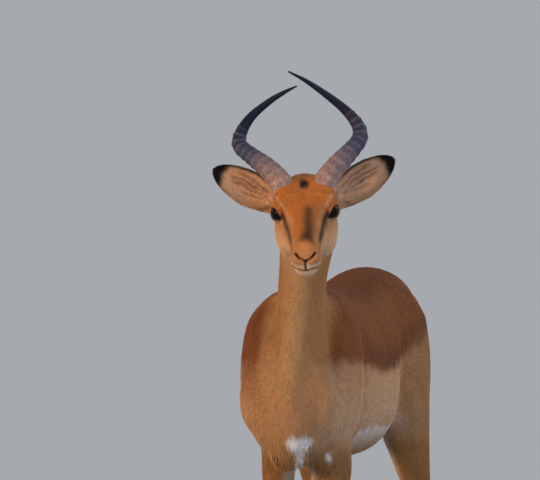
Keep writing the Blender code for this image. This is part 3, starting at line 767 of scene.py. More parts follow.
def region_of(points: Rows) -> Rows:
    """Returns the Region that each point of the skin lies in, as whole numbers."""
    _, y, z = points.T
    region = np.full(len(points), int(Region.BARREL))
    region[y < -0.105] = Region.FOREQUARTERS
    region[y > 0.135] = Region.HINDQUARTERS
    region[(y < 0) & (z < 0.500)] = Region.FORELEGS
    region[(y > 0) & (z < 0.500)] = Region.HIND_LEGS
    region[(y > 0.441) & (z > 0.45)] = Region.TAIL
    region[(over_shoulder(points) > 0) & (z > 0.60) & (y < -0.1)] = Region.NECK
    region[(over_throat(points) > 0) & (y < -0.2)] = Region.HEAD
    region[on_ears(points) > 0.5] = Region.EARS
    return region


@dataclass(frozen=True)
class Fold:
    """A groove pressed into the skin along a path, or a ridge where its depth is negative.

    All in millimetres. It has a mirror image on the animal's other side unless that is
    switched off.
    """

    width: float
    depth: float
    path: Path
    mirrored: bool = True

    def press(self, points: Rows) -> Rows:
        """Returns how deep the groove is at each point of its own frame, in metres."""
        deep = np.zeros(len(points))
        for distance, along in path_distances(points, self.path, self.mirrored):
            ends = np.sqrt(np.clip(4.4 * along * (1 - along) + 0.12, 0, 1))
            deep = np.maximum(deep, bell(distance, self.width / MM) * ends)
        return self.depth / MM * deep


# Nostrils, philtrum, mouth, tear line, cheekbone, nasal bone, brow and jaw, in the head's frame.
HEAD_FOLDS = (
    Fold(2.2, 5.5, ((18, -137.3, 8), (12.8, -149, 4.5), (3, -154.5, -2.2))),
    Fold(2.8, -1.2, ((20.5, -133, 12), (15, -145.5, 10.5), (4, -153, 4.5))),
    Fold(1.2, 2, ((0, -156, -3), (0, -155, -16.5))),
    Fold(1.2, 3.4, ((0, -154, -19), (13, -150, -18.6), (22.5, -140, -19), (27.5, -121, -21.5),
        (28, -102, -24))),
    Fold(4.2, -1.1, ((9, -150, -13), (23, -132, -13), (29, -108, -17))),
    Fold(3, 2.2, ((38.5, -25, 1), (33, -42, -3), (27, -64, -4))),
    Fold(4, 0.8, ((27, -64, -4), (24, -108, -1))),
    Fold(6, -1.8, ((44, 10, -24), (40, -18, -24), (33, -56, -23))),
    Fold(5, -1.2, ((19, -30, 30), (16, -70, 20), (14, -115, 19))),
    Fold(17, -4.5, ((23, 4, 33), (26, 20, 34))),
    Fold(7, 2.2, ((0, -12, 34), (0, 35, 40))),
    Fold(8, 2.2, ((48, 45, -20), (43, 56, -62), (33, 40, -88))),
)
# Flanks, shoulder blades, the neck's column, thighs and breast, in the animal's frame.
BODY_FOLDS = (
    Fold(24, 13, ((118, 155, 750), (120, 150, 680), (108, 150, 590))),
    Fold(26, 6, ((100, -150, 770), (110, -165, 700), (110, -160, 630), (98, -150, 560))),
    Fold(14, 8.5, ((72, -290, 790), (77, -302, 745), (80, -318, 700), (83, -322, 650),
        (80, -335, 600)), mirrored=False),
    Fold(13, 7.5, ((-28, -330, 800), (-36, -328, 750), (-40, -338, 700), (-40, -350, 650),
        (-36, -358, 610)), mirrored=False),
    Fold(18, 4, ((110, 300, 700), (112, 330, 600), (105, 340, 530))),
    Fold(10, 5, ((12, -350, 560), (10, -300, 500))),
)


def below_coronet(points: Rows) -> tuple[Rows, Rows]:
    """Returns how far each point is below a foot's coronet, from 0 to 1, and its step from the foot."""
    share = np.zeros(len(points))
    steps = np.zeros((len(points), 2))
    for foot in STANCE.feet().values():
        step = points[:, :2] - foot
        near = (np.linalg.norm(step, axis=1) < 0.045) & (points[:, 2] < 0.060)
        edge = HOOF_HEEL + (HOOF_TOE - HOOF_HEEL) * (0.5 - step[:, 1] / HOOF_LENGTH)
        low = 1 - smooth(points[:, 2] - edge, -0.002, 0.001)
        above = 1 - smooth(points[:, 2] - edge, 0.0, 0.014)
        share = np.where(near, 0.7 * low + 0.3 * above, share)
        steps = np.where(near[:, None], step, steps)
    return share, steps


@dataclass
class Skin:
    """The hide: all the flesh in one closed mesh, thinned to the coat's depth below it."""

    flesh: Flesh = field(default_factory=Flesh)
    body_voxel: float = 0.0032
    body_rounds: int = 60
    voxel: float = 0.0018
    rounds: int = 10
    head_rounds: int = 90
    kept: dict[str, int] = field(
        default_factory=lambda: {"trunk": 76_000, "limbs": 32_000, "head": 28_000}
    )
    fine_edge: float = 0.0013

    def form(self) -> Piece:
        """Returns the hide's shape, before anything is worked into it."""
        body = joined("body", self.flesh.body() + self.flesh.skull())
        self.fuse(body, self.body_voxel)
        evened(body.data, 0.5 * self.soft_share(coordinates(body.data)), self.body_rounds)
        smooth_body = bmesh.new()
        smooth_body.from_mesh(body.data)
        bpy.data.objects.remove(body)
        hide = joined("hide", [smooth_body, *self.flesh.skull(), *(ear.solid() for ear in EARS)])
        self.fuse(hide, self.voxel)
        points = coordinates(hide.data)
        above_legs = smooth(points[:, 2], 0.45, 0.55)
        share = (0.25 + 0.20 * above_legs) * (1 - 0.6 * on_ears(points))
        evened(hide.data, share, self.rounds)
        self.thin(hide)
        self.refine(hide)
        evened(hide.data, 0.45 * self.brow_share(coordinates(hide.data)), self.head_rounds)
        return hide

    def brow_share(self, points: Rows) -> Rows:
        """Returns how freely each point may be smoothed between muzzle, throat and ears."""
        _, y, z = POSE.inward(points).T
        off_muzzle = smooth(y, -0.105, -0.065) * smooth(z, -0.125, -0.085)
        return off_muzzle * (1 - smooth(y, 0.10, 0.13)) * (1 - on_ears(points))

    def soft_share(self, points: Rows) -> Rows:
        """Returns how freely each point may be smoothed: 1 on trunk and neck, little elsewhere."""
        _, y, z = points.T
        above_legs = np.clip((z - 0.48) / 0.10, 0, 1)
        behind_head = 1 - np.clip((z - 0.6 * (y + 0.36) - 0.88) / 0.07, 0, 1)
        return 0.10 + 0.90 * above_legs * behind_head * (1 - np.clip((y - 0.425) / 0.02, 0, 1))

    def fuse(self, obj: Piece, voxel: float) -> None:
        """Fuses overlapping bodies into one closed surface."""
        grid = obj.modifiers.new("fuse", "REMESH")
        grid.mode = "VOXEL"
        grid.voxel_size = voxel
        settle(obj)

    def thin(self, hide: Piece) -> None:
        """Thins the mesh, stretch by stretch, and least on the head."""
        for stretch, kept in self.kept.items():
            points = coordinates(hide.data)
            ears = on_ears(points) > 0.5
            on_head = region_of(points) == Region.HEAD
            on_trunk = (points[:, 2] > 0.47) & (points[:, 1] < 0.441) & ~on_head
            chosen = {
                "trunk": on_trunk & ~ears,
                "limbs": ~(on_trunk | on_head | ears),
                "head": (on_head | ears) & ~self.fine_zone(points),
            }[stretch]
            group = hide.vertex_groups.new(name="thin")
            group.add(np.flatnonzero(chosen).tolist(), 1.0, "REPLACE")
            total = sum(len(face.vertices) - 2 for face in hide.data.polygons)
            thin = hide.modifiers.new("thin", "DECIMATE")
            thin.vertex_group = "thin"
            thin.ratio = 1 - (total * chosen.mean() - kept) / total
            settle(hide)
            hide.vertex_groups.clear()

    def fine_zone(self, points: Rows) -> Rows:
        """Returns which points lie round the eyes, nose and mouth, where the finest folds go."""
        local = POSE.inward(points)
        fine = local[:, 1] < -0.116
        for side in Side:
            fine |= np.linalg.norm(local - EYE.centre(side), axis=1) < 0.026
        return fine

    def refine(self, hide: Piece) -> None:
        """Splits the long edges in the fine zone."""
        bm = bmesh.new()
        bm.from_mesh(hide.data)
        fine = self.fine_zone(coordinates(hide.data))
        bm.verts.ensure_lookup_table()
        edges = [
            edge for edge in bm.edges
            if fine[[vert.index for vert in edge.verts]].all() and edge.calc_length() > self.fine_edge
        ]
        bmesh.ops.subdivide_edges(bm, edges=edges, cuts=1)
        bmesh.ops.triangulate(bm, faces=bm.faces)
        bm.to_mesh(hide.data)
        bm.free()


# ---------------------------------------------------------------- lids and folds
@dataclass
class Face:
    """Works the folds, the lids and the coronets of the feet into the hide."""

    lid: float = 0.0015
    tuck: float = 0.0050
    crease: float = 0.0011
    reach: float = 0.0130

    def work(self, hide: Piece) -> None:
        """Presses the folds in and lays the lids round both eyeballs."""
        points = coordinates(hide.data)
        local = POSE.inward(points)
        deep = sum(fold.press(local) for fold in HEAD_FOLDS)
        deep += sum(fold.press(STANCE.centred(points)) for fold in BODY_FOLDS)
        points -= read(hide.data.vertices, "normal", 3) * deep[:, None]
        tucked, step = below_coronet(points)
        points[:, :2] -= step * 0.5 * tucked[:, None]
        for side in Side:
            points = self.lids(points, side)
        place(hide.data, points)

    def lids(self, points: Rows, side: Side) -> Rows:
        """Opens the skin over an eyeball and rolls its edge into two lids.

        Args:
            points: the hide's points.
            side: which eye.

        Returns:
            The moved points.
        """
        rel, distance, off_lid, way = eye_polar(points, side)
        inside = EYE.radius + 0.0004 - self.tuck * smooth(-off_lid, 0.0, 0.22)
        rolled = EYE.radius + self.lid * (0.4 + 0.6 * smooth(off_lid, 0.0, 0.08))
        above = self.crease * np.clip(np.sin(way), 0, 1) ** 0.5
        below = self.crease * np.clip(-np.sin(way), 0, 1) ** 0.5
        rolled += above * bell(off_lid - 0.17, 0.08) + 0.5 * below * bell(off_lid - 0.15, 0.08)
        folded = distance - above * bell(off_lid - 0.34, 0.07)
        folded -= 0.6 * below * bell(off_lid - 0.32, 0.08)
        outside = rolled + (np.maximum(folded, rolled) - rolled) * smooth(off_lid, 0.10, 0.50)
        wanted = np.where(off_lid < 0, inside, outside)
        near = (distance < EYE.radius + self.reach) & (off_lid < 0.75)
        scale = np.where(near, wanted / np.maximum(distance, 1e-6), 1.0)
        return POSE.outward(EYE.centre(side) + rel * scale[:, None])


def eye_polar(points: Rows, side: Side) -> tuple[Rows, Rows, Rows, Rows]:
    """Measures points round an eyeball.

    Args:
        points: rows in the animal's frame.
        side: which eye.

    Returns:
        Each point's step from the eye's middle in the head's frame, its distance, its angle
        outside the lids' edge, and the way round, a quarter turn being the upper lid.
    """
    rel = POSE.inward(points) - EYE.centre(side)
    look, back, upper = EYE.axes(side)
    distance = np.linalg.norm(rel, axis=1)
    off_look = np.arccos(np.clip(rel @ look / np.maximum(distance, 1e-9), -1, 1))
    way = np.arctan2(rel @ upper, rel @ back)
    return rel, distance, off_look - EYE.lid_angle(way), way


# ---------------------------------------------------------------- lie and length of the hair
@dataclass(frozen=True)
class Comb:
    """A place on the body: which way its hair lies, and its length and reach in millimetres."""

    at: Point
    lie: Point
    length: float
    reach: float = 90


BODY_COMBS = (
    Comb((0, -200, 820), (0, 1, -0.1), 10.7), Comb((0, 50, 800), (0, 1, 0), 9.8),
    Comb((0, 300, 820), (0, 1, -0.2), 9.8), Comb((110, 0, 700), (0, 0.95, -0.3), 9.8),
    Comb((110, 50, 580), (0, 0.9, -0.35), 9.8), Comb((30, 0, 500), (0, 1, 0), 11.5),
    Comb((100, -240, 700), (0, 0.6, -0.8), 9), Comb((90, -200, 560), (0, 0.45, -0.85), 9),
    Comb((60, -340, 640), (0.3, 0.3, -0.9), 10.7), Comb((0, -390, 640), (0, 0.2, -1), 9.8),
    Comb((30, -345, 535), (0, 0.35, -0.95), 26, 22), Comb((0, -400, 740), (0, 0.15, -1), 9.2, 70),
    Comb((60, -320, 780), (0.1, 0.4, -0.9), 8.6, 70), Comb((40, -450, 870), (0, 0.25, -1), 7.8, 60),
    Comb((80, -370, 870), (0.05, 0.45, -0.9), 7.2, 60),
    Comb((30, -270, 860), (-0.1, 0.55, -0.85), 7.8, 70), Comb((110, 240, 720), (0, 0.75, -0.65), 9.8),
    Comb((100, 320, 600), (0, 0.45, -0.9), 9), Comb((60, 430, 720), (0, 0.25, -1), 11.5, 60),
    Comb((50, 400, 620), (0, 0.05, -1), 11.5, 60), Comb((30, 300, 540), (0, 0.3, -1), 10.7, 60),
    Comb((90, 360, 450), (0, 0.3, -1), 7.4, 50), Comb((100, 390, 300), (0, 0.1, -1), 5.7, 60),
    Comb((100, 390, 150), (0, 0.1, -1), 4.9, 60), Comb((100, 360, 40), (0, -0.25, -1), 4.9, 40),
    Comb((50, -230, 420), (0, 0.2, -1), 6.6, 60), Comb((50, -240, 280), (0, 0.05, -1), 5.3, 60),
    Comb((50, -240, 150), (0, 0.05, -1), 4.9, 60), Comb((50, -270, 40), (0, -0.35, -1), 4.9, 40),
    Comb((12, 460, 770), (0, 1, -0.8), 11.5, 30), Comb((12, 470, 660), (0, 0.05, -1), 18, 40),
    Comb((12, 470, 540), (0, 0, -1), 23.4, 40),
)
HEAD_COMBS = (
    Comb((0, -145, 12), (0.1, 1, 0.3), 2.4, 18), Comb((16, -150, -8), (0.8, 0.6, -0.1), 2.2, 14),
    Comb((0, -100, 22), (0.05, 1, 0.15), 3.6, 30), Comb((0, -50, 26), (0.05, 1, 0.3), 4.5, 30),
    Comb((8, -5, 34), (0.15, 1, 0.5), 5.5, 30), Comb((26, 12, 36), (0.5, 0.9, 0.6), 5.5, 18),
    Comb((0, 45, 34), (0, 1, 0.6), 8.5, 20), Comb((0, 85, 25), (0, 1, -0.3), 9, 30),
    Comb((30, -100, -8), (0.1, 1, 0), 3.4, 30), Comb((34, -50, -10), (0.1, 1, 0), 4, 30),
    Comb((50, 20, -20), (0.1, 1, -0.25), 5, 30), Comb((50, 50, 10), (0.2, 1, 0.1), 5.5, 30),
    Comb((45, 40, -60), (0, 1, -0.45), 6.5, 30), Comb((10, -130, -45), (0.1, 1, -0.15), 3.2, 20),
    Comb((10, -60, -50), (0, 1, -0.15), 5, 30), Comb((0, 10, -85), (0, 1, -0.35), 8, 40),
    Comb((0, 60, -100), (0, 0.8, -0.9), 10, 40),
)


@dataclass
class Coat:
    """The lie, length and thickness of the hair all over the hide."""

    hugs: float = 0.22
    blend_power: float = 3.0
    ear_back: float = 4.0
    ear_inside: float = 6.5

    def combed(self, points: Rows, normals: Rows) -> tuple[Rows, Rows]:
        """Returns the way the hair lies at each point, along the skin, and its length."""
        lie, length = self.swept(STANCE.centred(points), BODY_COMBS)
        head_lie, head_length = self.swept(POSE.inward(points), HEAD_COMBS)
        on_head = head_share(points)
        lie = lay(lie, POSE.turned(head_lie), on_head)
        length = length + (head_length - length) * on_head
        for ear in EARS:
            share = ear.share(points)
            deep = ear.inside(normals, -0.1, 0.4) * (1 - smooth(ear.measure(points)[0], 0.5, 0.9))
            hair = self.ear_back + deep * (self.ear_inside - self.ear_back)
            length = length + (hair - length) * share
            lie = lay(lie, POSE.turned(ear.frame_axes()[1], pitched=False), share)
        lie -= normals * np.sum(lie * normals, axis=1)[:, None]
        lie /= np.maximum(np.linalg.norm(lie, axis=1), 1e-9)[:, None]
        return lie, length / MM

    def swept(self, points: Rows, combs: Sequence[Comb]) -> tuple[Rows, Rows]:
        """Blends combs, each of them on both sides of the midline.

        Args:
            points: rows in the combs' own frame.
            combs: the places that are given.

        Returns:
            The lie, not yet along the skin, and the length.
        """
        lie = np.zeros_like(points)
        length, total = np.zeros((2, len(points)))
        for comb in combs:
            for side in Side if comb.at[0] else (Side.LEFT,):
                step = points - metres(comb.at) * (side, 1, 1)
                away = np.sum(step * step, axis=1) / (comb.reach / MM) ** 2
                near = (away + 0.05) ** -self.blend_power
                lie += near[:, None] * np.array(comb.lie) * (side, 1, 1)
                length += near * comb.length
                total += near
        return lie / total[:, None], length / total


def head_share(points: Rows) -> Rows:
    """Returns 1 on the head and 0 on the body, with a soft change at the throat latch."""
    return smooth(over_throat(points), -0.012, 0.020) * (points[:, 1] < -0.2)


# ---------------------------------------------------------------- markings
def linear(code: str) -> tuple[float, float, float, float]:
    """Returns an sRGB hex colour as linear red, green, blue and alpha."""
    parts = [int(code[i : i + 2], 16) / 255 for i in (0, 2, 4)]
    parts = [p / 12.92 if p <= 0.04045 else ((p + 0.055) / 1.055) ** 2.4 for p in parts]
    return (*parts, 1.0)


class Hue(Enum):
    """The colours of an impala's hair, as sRGB hex."""

    SADDLE = "8A5228"
    SPINE = "6A3C1A"
    FLANK = "CFA47C"
    LOW_FLANK = "CCAA89"
    WHITE = "F2EFEC"
    NECK = "BC8654"
    NECK_FRONT = "C79A6A"
    THROAT = "E2C6AE"
    CHIN = "F0C295"
    FOREHEAD = "C27430"
    BRIDGE = "482A1A"
    NOSE = "D6905C"
    CHEEK = "C99260"
    PALE_CHEEK = "DCB287"
    BROW = "A65F33"
    STREAK = "DFB78E"
    LIP = "EACFBA"
    BLACK = "17110E"
    DARK = "3A2317"
    # Darker than the legs' own tan, with painted shade of the low legs and thighs in it.
    LEG = "986A3A"
    INNER_LEG = "D9C4AA"
    RUMP = "84502A"
    EAR_BACK = "B98454"
    EAR_HAIR = "F8C8A0"
    EAR_RIDGE = "6A3A22"
    NOSTRIL = "100B0A"

    def over(self, points: Rows) -> Rows:
        """Returns the colour in linear red, green and blue, once for each point."""
        return np.tile(linear(self.value)[:3], (len(points), 1))


def lay(rows: Rows, other: Hue | Rows, share: Rows) -> Rows:
    """Returns colours or directions with others laid over them in the given share."""
    if isinstance(other, Hue):
        other = other.over(rows)
    return rows + (other - rows) * share[:, None]


@dataclass(frozen=True)
class Mark:
    """A marking, or a painted shade, along a path: its hue, half width and edge in millimetres, and its
    strength.

    It has a mirror image on the animal's other side unless that is switched off.
    """

    hue: Hue
    radius: float
    soft: float
    strength: float
    path: Path
    tapered: float = 0.0
    mirrored: bool = True

    def cover(self, points: Rows) -> Rows:
        """Returns how strongly the marking covers each point, in its own frame."""
        cover = np.zeros(len(points))
        edge = self.soft / MM / 2
        for distance, along in path_distances(points, self.path, self.mirrored):
            radius = self.radius / MM * (1 - self.tapered * along)
            cover = np.maximum(cover, 1 - smooth(distance - radius, -edge, edge))
        return cover * self.strength


HEAD_MARKS = (
    Mark(Hue.THROAT, 26, 20, 0.9, ((0, -60, -60), (0, 10, -80), (0, 50, -110))),
    Mark(Hue.CHEEK, 20, 20, 0.8, ((40, -50, -20), (52, 30, -30))),
    Mark(Hue.PALE_CHEEK, 15, 22, 0.8, ((30, -100, -22), (44, -30, -40), (52, 50, -70))),
    # The dark bridge of the muzzle, drawn off the middle towards x > 0, with painted shade on that side
    # of the bridge.
    Mark(Hue.BRIDGE, 12, 19, 0.96, ((4.5, -112, 20.5), (8, -85, 22),
        (7, -25, 29)), tapered=0.45, mirrored=False),
    Mark(Hue.NOSE, 13, 24, 1, ((0, -135, 18), (0, -156, 4))),
    Mark(Hue.FOREHEAD, 18, 14, 0.9, ((10, -10, 36), (14, 30, 42))),
    Mark(Hue.BROW, 8, 8, 0.6, ((46, 12, 20), (40, -16, 18))),
    Mark(Hue.BLACK, 9.5, 6, 1, ((0, 34, 36), (0, 60, 35)), tapered=0.4),
    Mark(Hue.DARK, 10, 10, 0.8, ((30, 52, 36), (44, 60, 26))),
    Mark(Hue.STREAK, 3.6, 6, 0.6, ((50, 8, -15), (45, -10, -14))),
    # Painted shade: a soft dark band down each side of the muzzle, in the groove below the eye.
    Mark(Hue.BRIDGE, 8.5, 13, 0.6, ((35, -32, 1), (29, -60, -3), (25, -95, -3)), tapered=0.4),
    # Painted shade below the left eye (x > 0), on that side only.
    Mark(Hue.BRIDGE, 6, 13, 0.7, ((34.5, -33, 3), (30, -60, -1), (27, -85, -2)), mirrored=False),
    # The dark tear line from each eye down the muzzle, partly a marking and partly painted shade in its
    # groove.
    Mark(Hue.DARK, 5.6, 8, 0.92, ((38.5, -20, 6), (32.5, -42, 1), (29, -66, -2),
        (26.2, -90, -3)), tapered=0.6),
    Mark(Hue.STREAK, 2.2, 8, 0.62, ((48, 9, 27.5), (38.5, -13, 22.5), (30, -31, 17), (22.5, -60, 14))),
    Mark(Hue.CHIN, 20, 12, 0.8, ((0, -145, -30), (0, -80, -46))),
    Mark(Hue.FOREHEAD, 9, 14, 0.7, ((20, -135, -6), (25, -100, -8))),
    Mark(Hue.LIP, 3.6, 7, 0.75, ((4, -152, -12.5), (14, -149.5, -13), (22.5, -140, -14.5),
        (26.2, -122, -16.5)), tapered=0.6),
    Mark(Hue.LIP, 4.5, 6, 0.8, ((0, -149.5, -27.5), (14, -144, -28.5))),
    Mark(Hue.BLACK, 1.9, 1.8, 0.95, ((0, -152.5, -1), (0, -152.5, -19.5))),
    Mark(Hue.BLACK, 1.9, 2.2, 0.85, ((0, -151.2, -20), (13, -148.5, -20), (22.5, -140, -20.5),
        (27.5, -121, -22.5)), tapered=0.7),
    Mark(Hue.NOSTRIL, 2.7, 2.2, 1, ((0, -153, -0.8), (5.8, -150.5, 1.2), (12.5, -145, 4.4),
        (18, -138.5, 7.6))),
)
BODY_MARKS = (
    Mark(Hue.WHITE, 36, 20, 0.9, ((0, -200, 500), (0, 100, 490))),
    Mark(Hue.WHITE, 12, 10, 0.95, ((18, -372, 560), (40, -352, 556)), mirrored=False),
    Mark(Hue.WHITE, 8, 10, 0.6, ((26, -356, 540), (21, -327, 508)), mirrored=False),
    Mark(Hue.WHITE, 6, 6, 0.8, ((57, -270, 528), (55, -262, 520)), mirrored=False),
    # Painted shade in the crease under the chest, between the forelegs.
    Mark(Hue.DARK, 9, 14, 0.5, ((44, -335, 535), (46, -290, 515))),
    # Painted shade along the crease between barrel and haunch on each side: darker above, fainter below.
    Mark(Hue.SPINE, 11, 26, 0.7, ((104, 172, 760), (112, 176, 690), (113, 194, 640))),
    Mark(Hue.RUMP, 6, 22, 0.4, ((113, 198, 630), (112, 192, 570))),
    # Painted shade along the crease behind each shoulder blade.
    Mark(Hue.SADDLE, 6, 16, 0.55, ((106, -160, 700), (106, -155, 630), (96, -150, 575))),
    Mark(Hue.WHITE, 22, 12, 0.95, ((14, 424, 750), (16, 414, 640))),
    Mark(Hue.BLACK, 7.5, 8, 0.97, ((38, 402, 780), (46, 418, 730), (47, 414, 660),
        (44, 388, 600)), tapered=0.3),
    Mark(Hue.BLACK, 14, 8, 0.97, ((88, 408, 150), (88, 406, 118)), mirrored=False),
    Mark(Hue.BLACK, 14, 8, 0.97, ((-88, 378, 150), (-88, 376, 118)), mirrored=False),
)


def waves(points: Rows, size: float) -> Rows:
    """Returns a soft uneven wave between -1 and 1, with hollows about size across."""
    total = np.zeros(len(points))
    draw = np.random.default_rng(7)
    for _ in range(6):
        way = unit(draw.normal(size=3))
        phase = points @ way * TURN / (size * draw.uniform(0.7, 1.5))
        total += np.sin(phase + draw.uniform(0, 6))
    return total / 4


@dataclass
class Pelage:
    """The colours of the coat, worked out from a place on the body.

    Edges are y and z in metres. Each ear ridge is its place across the ear, its start and
    end along it, and its depth of colour.
    """

    ripple: float = 0.005
    saddle_edge: tuple[tuple[float, float], ...] = (
        (-0.40, 0.700), (-0.22, 0.693), (-0.03, 0.656), (0.07, 0.660), (0.14, 0.664),
        (0.30, 0.695), (0.42, 0.715),
    )
    belly_edge: tuple[tuple[float, float], ...] = (
        (-0.30, 0.500), (-0.20, 0.524), (-0.12, 0.564), (-0.03, 0.560), (0.06, 0.556),
        (0.16, 0.572), (0.30, 0.560),
    )
    ear_ridges: tuple[tuple[float, float, float, float], ...] = (
        (-0.50, 0.20, 0.62, 0.7), (-0.14, 0.14, 0.80, 0.9), (0.18, 0.24, 0.86, 0.95),
        (0.52, 0.16, 0.74, 0.9),
    )

    def paint(self, points: Rows, normals: Rows) -> Rows:
        """Returns the hair's linear red, green, blue and alpha at each point."""
        wave = waves(points, 0.030) * self.ripple
        local = POSE.inward(points)
        neck = self.neck(points, normals, wave)
        tint = lay(self.trunk(points, normals, wave), neck, self.neck_share(points))
        tint = self.legs(tint, points, normals, wave)
        cheeks = smooth(0.012 - local[:, 2] + wave, -0.010, 0.014)
        head = lay(Hue.FOREHEAD.over(points), Hue.CHEEK, cheeks)
        head = lay(head, Hue.PALE_CHEEK, 0.8 * smooth(-local[:, 2], 0.016, 0.050))
        head = lay(head, neck, smooth(local[:, 1], 0.060, 0.110))
        tint = lay(tint, head, head_share(points))
        for mark in BODY_MARKS:
            tint = lay(tint, mark.hue, mark.cover(STANCE.centred(points) + wave[:, None] * 0.5))
        off_ears = 1 - on_ears(points)
        for mark in HEAD_MARKS:
            tint = lay(tint, mark.hue, mark.cover(local + wave[:, None] * 0.25) * off_ears)
        tint = self.tail(tint, points, normals)
        for ear in EARS:
            tint = lay(tint, self.ear(points, normals, ear), ear.share(points))
        for side in Side:
            _, distance, off_lid, _ = eye_polar(points, side)
            near = (1 - smooth(distance, EYE.radius + 0.006, EYE.radius + 0.010)) * (off_lid < 0.6)
            tint = lay(tint, Hue.NOSTRIL, near * (1 - smooth(off_lid, 0.06, 0.17)))
        mottle = 1 + 0.06 * waves(points, 0.045) + 0.07 * waves(points, 0.012)
        return np.column_stack([np.clip(tint * mottle[:, None], 0, 1), np.ones(len(points))])

    def bareness(self, points: Rows) -> Rows:
        """Returns where the skin is bare, at the nostrils, lips and lids: 1, and 0 where haired."""
        local = POSE.inward(points)
        bare = smooth(below_coronet(points)[0], 0.4, 0.6)
        for mark in HEAD_MARKS:
            if mark.hue in (Hue.NOSTRIL, Hue.BLACK) and mark.radius < 3:
                bare = np.maximum(bare, mark.cover(local))
        for side in Side:
            _, distance, off_lid, _ = eye_polar(points, side)
            near = distance < EYE.radius + 0.008
            bare = np.maximum(bare, near * (1 - smooth(off_lid, 0.02, 0.16)))
        return bare

    def trunk(self, points: Rows, normals: Rows, wave: Rows) -> Rows:
        """Returns the saddle, flank and belly."""
        x, y, z = points.T
        over_edge = z - np.interp(y, *zip(*self.saddle_edge)) - wave
        under_belly = np.interp(y, *zip(*self.belly_edge)) + wave - z
        tint = lay(Hue.LOW_FLANK.over(points), Hue.FLANK, smooth(z, 0.56, 0.66))
        soft = 0.012 + 0.022 * smooth(y, 0.14, 0.22)
        tint = lay(tint, Hue.SADDLE, smooth(over_edge / soft, -1, 1))
        tint = lay(tint, Hue.SPINE, 0.85 * smooth(normals[:, 2], 0.55, 0.97) * (z > 0.7))
        band = smooth(over_edge, -0.004, 0.008) * (1 - smooth(over_edge, 0.020, 0.060))
        tint = lay(tint, Hue.SPINE, 0.6 * band * (1 - smooth(-y, 0.10, 0.18)))
        tint = lay(tint, Hue.NECK, 0.8 * smooth(-y, 0.30, 0.37))
        # The shoulders beside the neck take the saddle's brown, less on the left (x > 0) than on the
        # right: a painted difference of light between the two sides.
        shoulder = smooth(-y, 0.12, 0.24) * smooth(z, 0.60, 0.72) * self.beside_neck(points)
        tint = lay(tint, Hue.SADDLE, np.where(x > 0, 0.35, 0.85) * shoulder)
        under = smooth(-normals[:, 2], -0.60, -0.15) * (1 - smooth(y, 0.15, 0.20))
        return lay(tint, Hue.WHITE, smooth(under_belly, -0.005, 0.006) * under)

    def beside_neck(self, points: Rows) -> Rows:
        """Returns 1 on the shoulders beside the neck's column, and 0 on the column and above."""
        x, _, z = points.T
        return smooth(np.abs(x - 0.012), 0.048, 0.070) * (1 - smooth(z, 0.80, 0.86))

    def neck_share(self, points: Rows) -> Rows:
        """Returns 1 on the neck and 0 on the trunk."""
        high = smooth(over_shoulder(points), -0.05, 0.03) * (points[:, 1] < -0.1)
        return high * (1 - self.beside_neck(points))

    def neck(self, points: Rows, normals: Rows, wave: Rows) -> Rows:
        """Returns the neck: paler in front, darker along the crest."""
        ahead = -normals[:, 1]
        tint = lay(Hue.SADDLE.over(points), Hue.NECK, smooth(ahead, -0.75, 0.05))
        tint = lay(tint, Hue.NECK_FRONT, 0.85 * smooth(ahead + wave * 8, 0.45, 0.95))
        high = smooth(points[:, 2], 0.84, 0.93) * smooth(ahead, 0.35, 0.8)
        return lay(tint, Hue.THROAT, 0.75 * high)

    def legs(self, tint: Rows, points: Rows, normals: Rows, wave: Rows) -> Rows:
        """Returns the colours with the legs' tan outside and pale inside laid over them."""
        x, y, z = points.T
        low = 1 - smooth(z + wave, 0.50, 0.60)
        haunch = 1 - smooth(z + wave - np.interp(y, *zip(*self.saddle_edge)), -0.034, 0.034)
        haunch *= smooth(y + wave, 0.135, 0.175)
        # The leg tan, with its painted shade, on the low legs and on the haunch.
        tint = lay(tint, Hue.LEG, np.maximum(low, haunch * 0.75))
        inward = np.sign(np.where(y > 0, STANCE.hip_swing, 0.009) - x) * normals[:, 0]
        inner = smooth(inward + wave * 10, 0.35, 0.90) * (1 - smooth(z, 0.50, 0.58))
        behind = 0.35 * smooth(normals[:, 1], 0.5, 0.9) * low
        return lay(tint, Hue.INNER_LEG, np.maximum(0.7 * inner, behind))

    def tail(self, tint: Rows, points: Rows, normals: Rows) -> Rows:
        """Returns the colours with the tail's white underside and black line laid over them."""
        x, y, z = points.T
        on_tail = smooth(y, 0.436, 0.446) * (z > 0.45)
        tint = lay(tint, Hue.WHITE, on_tail * smooth(0.35 - normals[:, 1], -0.1, 0.3))
        line = 1 - smooth(np.abs(x - STANCE.hip_swing), 0.003, 0.008)
        top = on_tail * smooth(normals[:, 1] + 0.6 * normals[:, 2], 0.2, 0.6)
        tint = lay(tint, Hue.RUMP, top * smooth(z, 0.66, 0.74))
        return lay(tint, Hue.BLACK, top * line)

